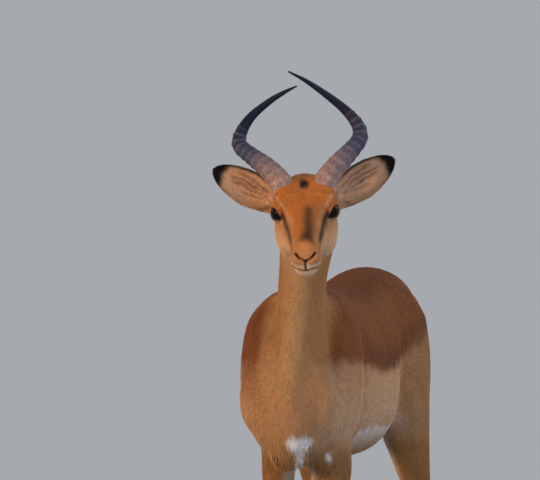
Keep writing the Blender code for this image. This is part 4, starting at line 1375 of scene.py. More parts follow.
    def ear(self, points: Rows, normals: Rows, ear: Ear) -> Rows:
        """Returns an ear: pale hair inside with dark ridges, a dark rim, painted shade deep in the cup
        near its root, and a black tip.
        """
        along, across = ear.measure(points)
        inner = ear.inside(normals, -0.05, 0.25)
        tint = lay(Hue.EAR_BACK.over(points), Hue.EAR_HAIR, inner)
        tint = lay(tint, Hue.STREAK, 0.8 * smooth(-across, 0.55, 0.95) * inner)
        spread = across / (0.45 + 0.55 * np.clip(along * 1.6, 0, 1)) + 0.11 * waves(points, 0.022)
        for ridge, start, end, depth in self.ear_ridges:
            line = bell(spread - ridge, 0.085) * smooth(along, start, start + 0.12)
            line *= (1 - smooth(along, end - 0.15, end)) * (0.75 + 0.25 * waves(points, 0.010))
            tint = lay(tint, Hue.EAR_RIDGE, depth * line * inner)
        rim = smooth(across, 0.74, 0.98) * smooth(along, 0.02, 0.2)
        rim = np.maximum(rim, 0.7 * smooth(-across, 0.85, 1.0) * smooth(along, 0.55, 0.8))
        tint = lay(tint, Hue.DARK, 0.9 * rim)
        # Painted shade deep in the ear's cup near its root, towards its lower edge.
        root = 1 - smooth(along + 0.10 * waves(points, 0.016), 0.06, 0.24)
        tint = lay(tint, Hue.DARK, 0.8 * root * smooth(-across, -0.9, 0.1) * inner)
        return lay(tint, Hue.BLACK, smooth(along + 0.05 * np.abs(across), 0.80, 0.90))


# ---------------------------------------------------------------- unwrap
@dataclass
class Unwrap:
    """Lays the hide out flat on the map OFBake, in charts that each face one way."""

    gap: float = 0.006
    rounds: int = 14
    fine_scale: float = 2.2
    slack: float = 1.04

    def lay_out(self, hide: Piece, region: Rows) -> None:
        """Writes the map of a triangulated hide.

        Args:
            hide: the hide.
            region: the Region of each of its faces.
        """
        mesh = hide.data
        faces = triangles(mesh)
        corners = coordinates(mesh)[faces]
        normals = read(mesh.vertices, "normal", 3)
        facing = relaxed(normals, mesh, 0.5, self.rounds)[faces].mean(axis=1)
        axis = np.abs(facing).argmax(axis=1)
        way = 2 * axis + (np.take_along_axis(facing, axis[:, None], 1)[:, 0] > 0)
        middle = corners.mean(axis=1)
        left = middle[:, 0] > STANCE.hip_shift(middle[:, 1]) + 0.009 * (middle[:, 1] < 0)
        chart = self.charts(faces, region * 100 + left * 10 + way)
        kept = np.array(((1, 2), (0, 2), (0, 1)))[axis]
        flat = np.take_along_axis(corners, kept[:, None, :], axis=2)
        fine = np.isin(region, (Region.HEAD, Region.EARS))
        flat *= np.where(fine, self.fine_scale, 1.0)[:, None, None]
        layer = mesh.uv_layers.new(name="OFBake")
        layer.data.foreach_set("uv", self.packed(flat, chart).reshape(-1).astype(np.float32))

    def charts(self, faces: Rows, key: Rows) -> Rows:
        """Returns a chart number for each face: faces with one key that hang together."""
        ends = np.sort(np.concatenate([faces[:, [0, 1]], faces[:, [1, 2]], faces[:, [2, 0]]]), axis=1)
        owner = np.tile(np.arange(len(faces)), 3)
        order = np.lexsort((ends[:, 1], ends[:, 0]))
        ends, owner = ends[order], owner[order]
        same = np.all(ends[1:] == ends[:-1], axis=1)
        pairs = np.stack([owner[:-1][same], owner[1:][same]], axis=1)
        pairs = pairs[key[pairs[:, 0]] == key[pairs[:, 1]]]
        label = np.arange(len(faces))
        while True:
            lowest = np.minimum(label[pairs[:, 0]], label[pairs[:, 1]])
            after = label.copy()
            for side in (0, 1):
                np.minimum.at(after, pairs[:, side], lowest)
            for _ in range(2):
                after = np.minimum(after, after[after])
            if np.array_equal(after, label):
                return np.unique(label, return_inverse=True)[1]
            label = after

    def packed(self, flat: Rows, chart: Rows) -> Rows:
        """Returns the charts set side by side on shelves, in a square from 0 to 1."""
        count = chart.max() + 1
        low = np.full((count, 2), np.inf)
        high = -low
        np.minimum.at(low, chart, flat.min(axis=1))
        np.maximum.at(high, chart, flat.max(axis=1))
        size = high - low + self.gap
        width = max(math.sqrt(size.prod(axis=1).sum()) * self.slack, size[:, 0].max())
        start = np.zeros((count, 2))
        x = y = shelf = 0.0
        for k in np.argsort(-size[:, 1]):
            if x + size[k, 0] > width:
                x, y, shelf = 0.0, y + shelf, 0.0
            start[k] = x, y
            x += size[k, 0]
            shelf = max(shelf, size[k, 1])
        placed = flat + (start - low)[chart][:, None, :] + self.gap / 2
        log.info("unwrap: %d charts, %.2f by %.2f m", count, width, y + shelf)
        return placed / max(width, y + shelf)


# ---------------------------------------------------------------- node trees
Given = object
Inputs = dict[str | int, Given]


def port(sockets: Iterable, name: str | int) -> bpy.types.NodeSocket:
    """Returns the shown socket with a name, or the one with a number."""
    if isinstance(name, int):
        return list(sockets)[name]
    return next(socket for socket in sockets if socket.name == name and socket.enabled)


def add(
    tree: bpy.types.NodeTree, kind: str, inputs: Inputs | None = None, result: str | int = 0,
    **settings: object,
) -> bpy.types.NodeSocket | None:
    """Adds a node with its settings, and its inputs' values or links.

    Args:
        tree: the node tree.
        kind: the node's type name.
        inputs: a value, or the socket to link from, for each input's name or number.
        result: the name or number of the output that is wanted.
        **settings: the node's own options.

    Returns:
        The wanted output, or None where the node has none.
    """
    node = tree.nodes.new(kind)
    for name, value in settings.items():
        setattr(node, name, value)
    for name, value in (inputs or {}).items():
        socket = port(node.inputs, name)
        if isinstance(value, bpy.types.NodeSocket):
            tree.links.new(value, socket)
        else:
            socket.default_value = value
    return port(node.outputs, result) if node.outputs else None


class Material:
    """A material being made: its tree, and shorthand for what every finish here reads."""

    def __init__(self, name: str) -> None:
        """Starts an empty material."""
        self.result = bpy.data.materials.new(name)
        self.result.use_nodes = True
        self.tree = self.result.node_tree
        self.tree.nodes.clear()
        self.place = add(self.tree, "ShaderNodeTexCoord", result="Object")

    def attribute(self, name: str, output: str = "Fac") -> Given:
        """Returns a value, colour or vector that the mesh carries."""
        return add(self.tree, "ShaderNodeAttribute", None, output, attribute_name=name)

    def math(self, operation: str, *values: Given) -> Given:
        """Returns the result of a sum."""
        return add(self.tree, "ShaderNodeMath", dict(enumerate(values)), operation=operation)

    def vector(self, operation: str, first: Given, second: Given) -> Given:
        """Returns the result of a sum of vectors."""
        return add(self.tree, "ShaderNodeVectorMath", {0: first, 1: second}, operation=operation)

    def scaled(self, colour: Given, factor: Given) -> Given:
        """Returns a colour made lighter or darker."""
        inputs = {0: colour, "Scale": factor}
        return add(self.tree, "ShaderNodeVectorMath", inputs, operation="SCALE")

    def axes(self, vector: Given) -> list[Given]:
        """Returns a vector's x, y and z."""
        node = add(self.tree, "ShaderNodeSeparateXYZ", {0: vector}).node
        return list(node.outputs)

    def ramp(self, value: Given, low: float, high: float, first: float = 0.0, last: float = 1.0):
        """Returns a value carried from one range to another, and held at its ends."""
        ends = {"From Min": low, "From Max": high, "To Min": first, "To Max": last}
        return add(self.tree, "ShaderNodeMapRange", {"Value": value} | ends)

    def mix(self, share: Given, first: Given, second: Given) -> Given:
        """Returns a mix of two colours; a colour may be a hex code."""
        first, second = (linear(c) if isinstance(c, str) else c for c in (first, second))
        inputs = {"Factor": share, "A": first, "B": second}
        return add(self.tree, "ShaderNodeMix", inputs, "Result", data_type="RGBA")

    def noise(self, where: Given, size_mm: float, detail: float = 2.0, stretch: Point = (1, 1, 1)):
        """Returns noise with hollows of a real size, longer along an axis where stretched."""
        mapped = self.vector("MULTIPLY", where, Vector([1 / factor for factor in stretch]))
        inputs = {"Vector": mapped, "Scale": MM / size_mm, "Detail": detail, "Roughness": 0.55}
        return add(self.tree, "ShaderNodeTexNoise", inputs)

    def bump(self, height: Given, depth_mm: float) -> Given:
        """Returns a normal bent by a height."""
        inputs = {"Height": height, "Distance": depth_mm / MM, "Strength": 1.0}
        return add(self.tree, "ShaderNodeBump", inputs)

    def finish(self, colour: Given, roughness: Given, specular: float, **more: Given):
        """Closes the material with one Principled shader.

        Args:
            colour: the base colour or what it is linked from.
            roughness: the roughness or what it is linked from.
            specular: the level of its reflections.
            **more: the shader's other inputs by name.

        Returns:
            The finished material.
        """
        inputs = {"Base Color": colour, "Roughness": roughness, "Specular IOR Level": specular}
        shader = add(self.tree, "ShaderNodeBsdfPrincipled", inputs | more)
        add(self.tree, "ShaderNodeOutputMaterial", {"Surface": shader})
        return self.result


# ---------------------------------------------------------------- finishes
@dataclass(frozen=True)
class TuftFinish:
    """Impala hair, fine and straight: dull along its length, a little paler at the points."""

    roughness: float = 0.58
    root: float = 0.82
    tip: float = 1.11
    uneven: float = 0.38

    def make(self) -> bpy.types.Material:
        """Returns the material, coloured by the markings at each tuft's root."""
        made = Material("impala_hair")
        rise = made.ramp(made.attribute("rise"), 0.0, 1.0, self.root, self.tip)
        tone = made.ramp(made.attribute("tone"), 0.0, 1.0, 1 - self.uneven / 2, 1 + self.uneven / 2)
        colour = made.scaled(made.attribute("pelage", "Color"), made.math("MULTIPLY", rise, tone))
        return made.finish(colour, self.roughness, 0.22)


@dataclass(frozen=True)
class HideFinish:
    """The hide under the tufts: short flat hair seen as fine streaks along its lie.

    It turns bare, dark and slightly moist at the nostrils, lips and lids.
    """

    streak_mm: float = 0.9
    streak_long: float = 9.0
    grain_mm: float = 1.1
    depth_mm: float = 0.35

    def make(self) -> bpy.types.Material:
        """Returns the material."""
        made = Material("impala_hide")
        lie = made.attribute("lie", "Vector")
        streaks = 0.0
        for axis, share in enumerate(made.axes(made.vector("MULTIPLY", lie, lie))):
            stretch = tuple(self.streak_long if k == axis else 1.0 for k in range(3))
            noise = made.noise(made.place, self.streak_mm, 2.0, stretch)
            streaks = made.math("MULTIPLY_ADD", noise, share, streaks)
        hair = made.ramp(streaks, 0.30, 0.70, 0.90, 1.08)
        colour = made.scaled(made.attribute("pelage", "Color"), hair)
        bare = made.attribute("bare")
        grain = made.noise(made.place, self.grain_mm, 1.0)
        height = made.math("MULTIPLY_ADD", grain, made.math("MULTIPLY", bare, 0.5), streaks)
        roughness = made.ramp(bare, 0.1, 0.9, 0.66, 0.32)
        return made.finish(colour, roughness, 0.30, Normal=made.bump(height, self.depth_mm))


@dataclass(frozen=True)
class HornFinish:
    """Horn keratin: grey-brown, paler on the ridges as both wear and a painted highlight, darkened in the
    grooves with painted shade, black at the point.
    """

    shades: tuple[tuple[float, str], ...] = ((0.10, "BC978A"), (0.42, "464A68"), (0.70, "08122E"))
    # The ridges' paler colour: partly wear, partly a painted highlight.
    crest: str = "8E8692"
    streak_mm: float = 0.8
    flake_mm: float = 2.6
    blotch_mm: float = 9.0

    def make(self) -> bpy.types.Material:
        """Returns the material, which reads how far up and how raised each point is."""
        made = Material("horn_keratin")
        along, crest = made.attribute("along"), made.attribute("crest")
        grain = made.attribute("grain", "Vector")
        streaks = made.noise(grain, self.streak_mm, 3.0, (1, 1, 16))
        blotch = made.noise(grain, self.blotch_mm, 2.0, (1, 1, 2))
        height = made.math("MULTIPLY_ADD", blotch, 0.16, along)
        shade = add(made.tree, "ShaderNodeValToRGB", {0: height})
        stops = shade.node.color_ramp.elements
        stops.new(0.5)
        for stop, (position, code) in zip(stops, self.shades):
            stop.position = position
            stop.color = linear(code)
        lower = made.ramp(along, 0.10, 0.45, 0.10, 0.30)
        ridged = made.math("MULTIPLY", lower, made.ramp(along, 0.58, 0.64, 1, 0))
        # Wear together with a painted highlight: how much of the crest colour goes on the ridges of the
        # lower horn.
        worn = made.math("MULTIPLY", made.ramp(crest, 0.35, 1.0), ridged)
        flakes = made.noise(grain, self.flake_mm, 3.0, (1, 1, 1.6))
        light = made.ramp(streaks, 0.3, 0.7, 0.70, 1.18)
        light = made.math("MULTIPLY", light, made.ramp(flakes, 0.3, 0.7, 0.68, 1.24))
        # Painted shade in the grooves between the ridges.
        light = made.math("MULTIPLY", light, made.ramp(crest, 0.0, 0.5, 0.45, 1.0))
        colour = made.scaled(made.mix(worn, shade, self.crest), light)
        normal = made.bump(made.math("ADD", streaks, flakes), 0.5)
        return made.finish(colour, made.ramp(along, 0.5, 0.85, 0.52, 0.40), 0.25, Normal=normal)


@dataclass(frozen=True)
class EyeFinish:
    """A wet antelope eye: nearly black brown, with a wide level pupil under a clear cornea."""

    iris: str = "170C07"
    ring: str = "0C0605"
    pupil: str = "040303"
    pupil_wide: float = 0.42
    pupil_high: float = 0.24
    pupil_square: float = 2.4

    def make(self) -> bpy.types.Material:
        """Returns the material, which reads each point's place on the ball."""
        made = Material("wet_eye")
        gaze = made.attribute("gaze", "Vector")
        reaches = []
        for place, half in zip(made.axes(gaze), (self.pupil_wide, self.pupil_high)):
            share = made.math("ABSOLUTE", made.math("DIVIDE", place, half))
            reaches.append(made.math("POWER", share, self.pupil_square))
        in_pupil = made.ramp(made.math("ADD", *reaches), 0.85, 1.15, 1.0, 0.0)
        reach = add(made.tree, "ShaderNodeVectorMath", {0: gaze}, "Value", operation="LENGTH")
        spokes = made.ramp(made.noise(gaze, 60.0, 3.0), 0.3, 0.7)
        iris = made.mix(spokes, self.iris, self.ring)
        outer = made.mix(made.ramp(reach, 0.55, 0.72), iris, self.ring)
        return made.finish(made.mix(in_pupil, outer, self.pupil), 0.12, 0.16, IOR=1.38)


@dataclass(frozen=True)
class LidFinish:
    """The bare rim of the lids: black, fine-grained and moist."""

    dark: str = "120C0A"
    pale: str = "241A16"
    grain_mm: float = 0.7

    def make(self) -> bpy.types.Material:
        """Returns the material."""
        made = Material("bare_lid_skin")
        grain = made.noise(made.place, self.grain_mm)
        colour = made.mix(made.ramp(grain, 0.3, 0.7), self.dark, self.pale)
        return made.finish(colour, 0.48, 0.3, Normal=made.bump(grain, 0.2))


@dataclass(frozen=True)
class HoofFinish:
    """Hoof horn: grey-black and worn, with growth lines level with the coronet and dust below."""

    horn: str = "2B2421"
    line: str = "4A3D34"
    dust: str = "8C7660"
    line_mm: float = 1.6
    streak_mm: float = 0.9

    def make(self) -> bpy.types.Material:
        """Returns the material, which reads how far up each point is."""
        made = Material("hoof_keratin")
        streaks = made.noise(made.place, self.streak_mm, 3.0, (1, 1, 7))
        level = made.vector("MULTIPLY", made.attribute("grain", "Vector"), (0.2, 0.2, 1))
        lines = made.noise(level, self.line_mm)
        colour = made.mix(made.ramp(lines, 0.42, 0.66), self.horn, self.line)
        colour = made.mix(made.ramp(streaks, 0.35, 0.75, 0.0, 0.4), colour, self.line)
        low = made.ramp(made.attribute("along"), 0.25, 0.0, 0.0, 0.7)
        worn = made.math("MULTIPLY", low, made.ramp(streaks, 0.3, 0.6))
        colour = made.mix(worn, colour, self.dust)
        height = made.math("ADD", lines, made.math("MULTIPLY", streaks, 0.4))
        roughness = made.ramp(streaks, 0.2, 0.8, 0.42, 0.62)
        return made.finish(colour, roughness, 0.5, Normal=made.bump(height, 0.4))


# ---------------------------------------------------------------- tufts
class Blade(Enum):
    """The two shapes of tuft: how wide it is at each share of its length."""

    SHORT = ((0.0, 1.0),)
    LONG = ((0.0, 1.0), (0.45, 0.85))

    def build(self, lift: float) -> Piece:
        """Returns the tuft: its root at the origin, its point at y = 1, thin and three-sided.

        Args:
            lift: how high its point stands over the skin, as a share of its length.

        Returns:
            The hidden object that is set all over the hide.
        """
        bm = bmesh.new()
        rise = bm.verts.layers.float.new("rise")
        patch = bm.verts.layers.float_vector.new("patch")
        upper = bm.faces.layers.float.new("upper")
        rings = []
        for along, wide in self.value:
            height = lift * along ** 0.7
            sides = [(x * wide / 2, along, height) for x in (-1, 1)]
            rings.append([*sides, (0, along, height + 0.014 * wide)])
        add_tube(bm, rings, tips=(None, (0, 1, lift)))
        bmesh.ops.triangulate(bm, faces=bm.faces)
        for vert in bm.verts:
            vert[rise] = vert.co.y
            vert[patch] = (2 * vert.co.x, vert.co.y, 0)
        for face in bm.faces:
            face[upper] = float(face.normal.z > 0.1)
        blade = mesh_object(f"tuft_{self.name.lower()}", rounded(bm))
        blade.hide_render = blade.hide_viewport = True
        return blade


class TuftTree:
    """The Geometry Nodes that set tufts on a stretch of hide, lying as the coat is combed."""

    given = {
        "Geometry": "Geometry", "Region": "Int", "Seed": "Int", "Density": "Float",
        "Slenderness": "Float", "Sway": "Float", "Tuft": "Object", "Material": "Material",
    }
    spare = ("lie", "hair", "thick", "patch", "region", "bare", "upper", "root_normal")
    patch_size = 0.003
    length_range = (0.72, 1.22)
    width_range = (0.75, 1.30)
    nod_range = (-0.2, 0.35)
    soft_shading = 0.85

    def __init__(self) -> None:
        """Builds the tree with its named inputs."""
        self.tree = bpy.data.node_groups.new("tufts", "GeometryNodeTree")
        face = self.tree.interface
        face.new_socket("Geometry", in_out="OUTPUT", socket_type="NodeSocketGeometry")
        self.inputs = {
            name: face.new_socket(name, in_out="INPUT", socket_type=f"NodeSocket{kind}").identifier
            for name, kind in self.given.items()
        }
        source = self.tree.nodes.new("NodeGroupInput").outputs
        self.build(*(source[name] for name in self.given))

    def add(self, kind: str, inputs: Inputs | None = None, result: str | int = 0, **settings):
        """Adds a node; see add()."""
        return add(self.tree, kind, inputs, result, **settings)

    def attribute(self, name: str, kind: str = "FLOAT") -> Given:
        """Returns a value that the hide carries."""
        kinds = "GeometryNodeInputNamedAttribute"
        return self.add(kinds, {"Name": name}, "Attribute", data_type=kind)

    def stored(self, geometry: Given, name: str, value: Given, kind: str, domain: str = "POINT"):
        """Returns the geometry with a value kept on it."""
        inputs = {"Geometry": geometry, "Name": name, "Value": value}
        kinds = "GeometryNodeStoreNamedAttribute"
        return self.add(kinds, inputs, data_type=kind, domain=domain)

    def times(self, first: Given, second: Given) -> Given:
        """Returns a product."""
        return self.add("ShaderNodeMath", {0: first, 1: second}, operation="MULTIPLY")

    def row(self, *values: Given) -> Given:
        """Returns three values as a vector."""
        return self.add("ShaderNodeCombineXYZ", dict(enumerate(values)))

    def build(
        self, hide: Given, region: Given, seed: Given, density: Given, slenderness: Given,
        sway: Given, tuft: Given, material: Given,
    ) -> None:
        """Scatters, turns, sizes and realizes the tufts, and gives them their patch of the map.

        Args:
            hide: the hide with its lie, length and thickness of hair.
            region: the stretch to cover.
            seed: what every random number comes from.
            density: how much of the wanted thickness is kept.
            slenderness: a tuft's breadth for its length.
            sway: how far tufts stray from the lie, in radians.
            tuft: the object to set.
            material: the tufts' finish.
        """

        def chance(low: float, high: float, step: int) -> Given:
            """Returns a random number for each tuft."""
            own = self.add("ShaderNodeMath", {0: seed, 1: float(step)}, operation="ADD")
            inputs = {"Min": low, "Max": high, "Seed": own}
            return self.add("FunctionNodeRandomValue", inputs, "Value", data_type="FLOAT")

        inputs = {"A": self.attribute("region", "INT"), "B": region}
        here = self.add("FunctionNodeCompare", inputs, data_type="INT", operation="EQUAL")
        inputs = {
            "Mesh": hide, "Selection": here, "Seed": seed,
            "Density": self.times(self.attribute("thick"), density),
        }
        kind = "GeometryNodeDistributePointsOnFaces"
        points = self.add(kind, inputs, distribute_method="RANDOM")
        normal = points.node.outputs["Normal"]
        inputs = {0: normal, 1: self.attribute("lie", "FLOAT_VECTOR")}
        kind = "FunctionNodeAxesToRotation"
        upright = self.add(kind, inputs, primary_axis="Z", secondary_axis="Y")
        yaw = self.times(sway, chance(-1, 1, 1))
        nod = self.times(sway, chance(*self.nod_range, 2))
        roll = self.times(sway, chance(-1, 1, 3))
        bend = self.add("FunctionNodeEulerToRotation", {0: self.row(nod, roll, yaw)})
        turned = self.add("FunctionNodeRotateRotation", {0: upright, 1: bend}, rotation_space="LOCAL")
        hair = self.attribute("hair")
        length = self.times(hair, chance(*self.length_range, 4))
        width = self.times(self.times(hair, slenderness), chance(*self.width_range, 5))
        points = self.stored(points, "tone", chance(0, 1, 6), "FLOAT")
        inputs = {
            "Points": self.stored(points, "root_normal", normal, "FLOAT_VECTOR"),
            "Instance": self.add("GeometryNodeObjectInfo", {"Object": tuft}, "Geometry"),
            "Rotation": turned,
            "Scale": self.row(width, length, length),
        }
        placed = self.add("GeometryNodeInstanceOnPoints", inputs)
        solid = self.add("GeometryNodeRealizeInstances", {0: placed})
        inputs = {
            "Factor": self.times(self.attribute("upper"), self.soft_shading),
            "A": self.add("GeometryNodeInputNormal"),
            "B": self.attribute("root_normal", "FLOAT_VECTOR"),
        }
        facing = self.add("ShaderNodeMix", inputs, "Result", data_type="VECTOR", factor_mode="UNIFORM")
        inputs = {"Mesh": solid, "Custom Normal": facing}
        shaded = self.add("GeometryNodeSetMeshNormal", inputs, mode="FREE", domain="CORNER")
        inputs = {
            0: self.attribute("patch", "FLOAT_VECTOR"),
            1: (self.patch_size / 2, self.patch_size, 0),
            2: self.attribute("OFBake", "FLOAT_VECTOR"),
        }
        step = self.add("ShaderNodeVectorMath", inputs, operation="MULTIPLY_ADD")
        mapped = self.stored(shaded, "OFBake", step, "FLOAT2", "CORNER")
        dressed = self.add("GeometryNodeSetMaterial", {"Geometry": mapped, "Material": material})
        self.add("NodeGroupOutput", {0: dressed})

    def grow(self, hide: Piece, name: str, values: dict[str, object]) -> Piece:
        """Returns the tufts of one stretch as a plain mesh object.

        Args:
            hide: the hide with its lie, length, thickness and colours.
            name: the new piece's name.
            values: the tree's inputs by name.

        Returns:
            The piece.
        """
        piece = linked(name, hide.data)
        tufts = piece.modifiers.new("tufts", "NODES")
        tufts.node_group = self.tree
        for key, value in values.items():
            tufts[self.inputs[key]] = value
        settle(piece)
        mesh = piece.data
        for key in set(self.spare) & set(mesh.attributes.keys()):
            mesh.attributes.remove(mesh.attributes[key])
        mesh.name = name
        return piece


@dataclass
class Animal:
    """The hide and its coat, from the bare form to the last tuft."""

    skin: Skin = field(default_factory=Skin)
    face: Face = field(default_factory=Face)
    coat: Coat = field(default_factory=Coat)
    pelage: Pelage = field(default_factory=Pelage)
    unwrap: Unwrap = field(default_factory=Unwrap)
    cover: dict[Region, float] = field(
        default_factory=lambda: {
            Region.HEAD: 1.35, Region.NECK: 3.0, Region.FOREQUARTERS: 2.3, Region.BARREL: 2.3,
            Region.HINDQUARTERS: 2.2, Region.TAIL: 3.6, Region.FORELEGS: 1.5, Region.HIND_LEGS: 1.5,
            Region.EARS: 2.1,
        }
    )
    most_tufts: int = 49_000
    most_hug: float = 0.004
    slender: float = 0.095
    sway: float = 0.20
    first_seed: int = 11

    def make_hide(self) -> Piece:
        """Returns the finished hide, with all that the coat reads on it."""
        hide = self.skin.form()
        mesh = hide.data
        points, normals = coordinates(mesh), read(mesh.vertices, "normal", 3)
        _, hair = self.coat.combed(points, normals)
        depth = relaxed((hair * self.coat.hugs)[:, None], mesh, 0.5, 6)
        place(mesh, points - normals * np.minimum(depth, self.most_hug))
        self.face.work(hide)
        points, normals = coordinates(mesh), read(mesh.vertices, "normal", 3)
        lie, hair = self.coat.combed(points, normals)
        bare = self.pelage.bareness(points)
        region = region_of(points[triangles(mesh)].mean(axis=1))
        self.unwrap.lay_out(hide, region)
        cover = np.array([self.cover[k] for k in Region])[region_of(points)]
        thick = cover / (hair * hair * self.slender) * (1 - bare)
        for name, kind, key, rows in (
            ("region", "INT", "value", region.astype(np.int32)),
            ("pelage", "FLOAT_COLOR", "color", self.pelage.paint(points, normals)),
            ("lie", "FLOAT_VECTOR", "vector", lie),
            ("hair", "FLOAT", "value", hair),
            ("bare", "FLOAT", "value", bare),
            ("thick", "FLOAT", "value", thick),
        ):
            domain = "FACE" if name == "region" else "POINT"
            mesh.attributes.new(name, kind, domain).data.foreach_set(key, np.ravel(rows))
        for face in mesh.polygons:
            face.use_smooth = True
        mesh.materials.append(HideFinish().make())
        hide.name = "hide"
        return hide

    def expected(self, mesh: Mesh) -> Rows:
        """Returns how many tufts each region would have."""
        thick = read(mesh.attributes["thick"].data, "value")[triangles(mesh)].mean(axis=1)
        region = read(mesh.attributes["region"].data, "value", 1, np.int32)
        return np.bincount(region, read(mesh.polygons, "area") * thick, len(Region))

    def make_coat(self, hide: Piece) -> list[Piece]:
        """Returns the pieces of the coat."""
        tree = TuftTree()
        short, long = Blade.SHORT.build(0.11), Blade.LONG.build(0.12)
        hair = TuftFinish().make()
        expected = self.expected(hide.data)
        coat = []
        for region in Region:
            values = {
                "Region": int(region),
                "Seed": self.first_seed + int(region),
                "Density": min(1.0, self.most_tufts / max(expected[region], 1.0)),
                "Slenderness": self.slender,
                "Sway": self.sway,
                "Tuft": long if region is Region.TAIL else short,
                "Material": hair,
            }
            coat.append(tree.grow(hide, f"coat_{region.name.lower()}", values))
        bpy.data.objects.remove(short)
        bpy.data.objects.remove(long)
        return coat


# ---------------------------------------------------------------- horns
@dataclass
class Horn:
    """One lyre-shaped horn, ridged on its lower part and smooth towards its point.

    Its middle line is rows of how far out, back and up it is in the level head, and how
    thick, in millimetres.
    """

    side: Side
    line: tuple[tuple[float, float, float, float], ...]
    ridges: int = 13
    ridged: float = 0.66
    height: float = 0.0021
    rows: int = 330
    sides: int = 40

    def build(self) -> Piece:
        """Returns the horn's mesh, with how far up and how raised each point is."""
        rings = [Ring(self.side * out, back, up, *[wide / 2] * 3) for out, back, up, wide in self.line]
        path = blend_rings(rings, 24)
        way = np.concatenate([[0], np.cumsum(np.linalg.norm(np.diff(path[:, :3], axis=0), axis=1))])
        share = np.linspace(0, 1, self.rows)
        middle = np.stack([np.interp(share, way / way[-1], path[:, k]) for k in range(4)], axis=1)
        middle, half = middle[:, :3], middle[:, 3]
        ahead = np.gradient(middle, axis=0)
        ahead /= np.linalg.norm(ahead, axis=1)[:, None]
        angle = around(self.sides)
        cos, sin = np.cos(angle)[:, None], np.sin(angle)[:, None]
        forward = np.array((self.side * 0.35, -1.0, 0.15))
        spots, crests, grain = [], [], []
        for i, s in enumerate(share):
            forward = unit(forward - ahead[i] * (forward @ ahead[i]))
            crest, raised = self.relief(s, angle)
            fade = min(1.0, half[i] / 0.008)
            reach = half[i] * (1 + 0.07 * fade * np.abs(cos) ** 3)
            reach += fade * (raised[:, None] - 0.45 * self.height)
            spots.append(middle[i] + (forward * cos + np.cross(ahead[i], forward) * sin) * reach)
            crests.append(crest)
            grain.append(np.column_stack([0.02 * cos, 0.02 * sin, np.full(self.sides, 0.31 * s)]))
        along = np.repeat(share[:, None], self.sides, axis=1)
        bm = bmesh.new()
        add_tube(bm, spots, {"along": along, "crest": np.array(crests), "grain": np.array(grain)})
        name = f"horn_{self.side.name.lower()}_keratin"
        return mesh_object(name, POSE.carry(rounded(bm), pitched=False))

    def relief(self, s: float, angle: Rows) -> tuple[Rows, Rows]:
        """Returns how much of a crest each spot is, from 0 to 1, and how far it is raised.

        Args:
            s: the share of the horn's length.
            angle: the way round it, 0 in front.
        """
        wave = 0.10 * np.sin(angle) + 0.05 * np.sin(3 * angle + 9 * s)
        spaced = self.ridges * (s / self.ridged) ** 1.06 + wave
        step = spaced % 1.0 - 0.55
        strength = min(1.0, max(0.0, (self.ridged - s) / 0.10)) * min(1.0, s / 0.03)
        strength *= (0.675 + 0.325 * np.cos(angle)) * (0.30 + 0.70 * min(1.0, s / 0.35))
        strength *= 0.8 + 0.2 * np.sin(5.1 * np.floor(spaced))
        crest = bell(step, np.where(step < 0, 0.17, 0.12)) * strength
        fine = 0.00016 * np.sin(spaced * 4 * TURN) * strength
        flutes = 0.00014 * np.sin(19 * angle + 4 * math.sin(6 * s)) * (1 - s) ** 0.5
        groove = 0.30 + 0.70 * crest if s < self.ridged else 0.75 + 0 * angle
        return groove, self.height * (1 - 0.45 * s / self.ridged) * crest + fine + flutes


HORNS = (
    Horn(Side.LEFT, (
        (34, 26, 25, 44), (37, 29, 49, 43), (58, 45, 76, 37.5), (85, 74, 102, 31.5),
        (98.5, 94, 120, 28.5), (95, 110, 142, 23), (73.5, 120, 169, 17.5), (41, 122, 197, 13),
        (9, 118, 221, 8.5), (-21, 112, 239, 3),
    )),
    Horn(Side.RIGHT, (
        (34, 26, 25, 44), (39, 29, 48, 43), (60, 46, 74, 37.5), (88, 74, 96, 31.5),
        (109, 98, 114, 28), (107, 112, 136, 22.5), (88, 120, 163, 17), (57, 121, 187, 12.5),
        (31, 117, 202, 8.5), (7, 111, 213, 3),
    )),
)


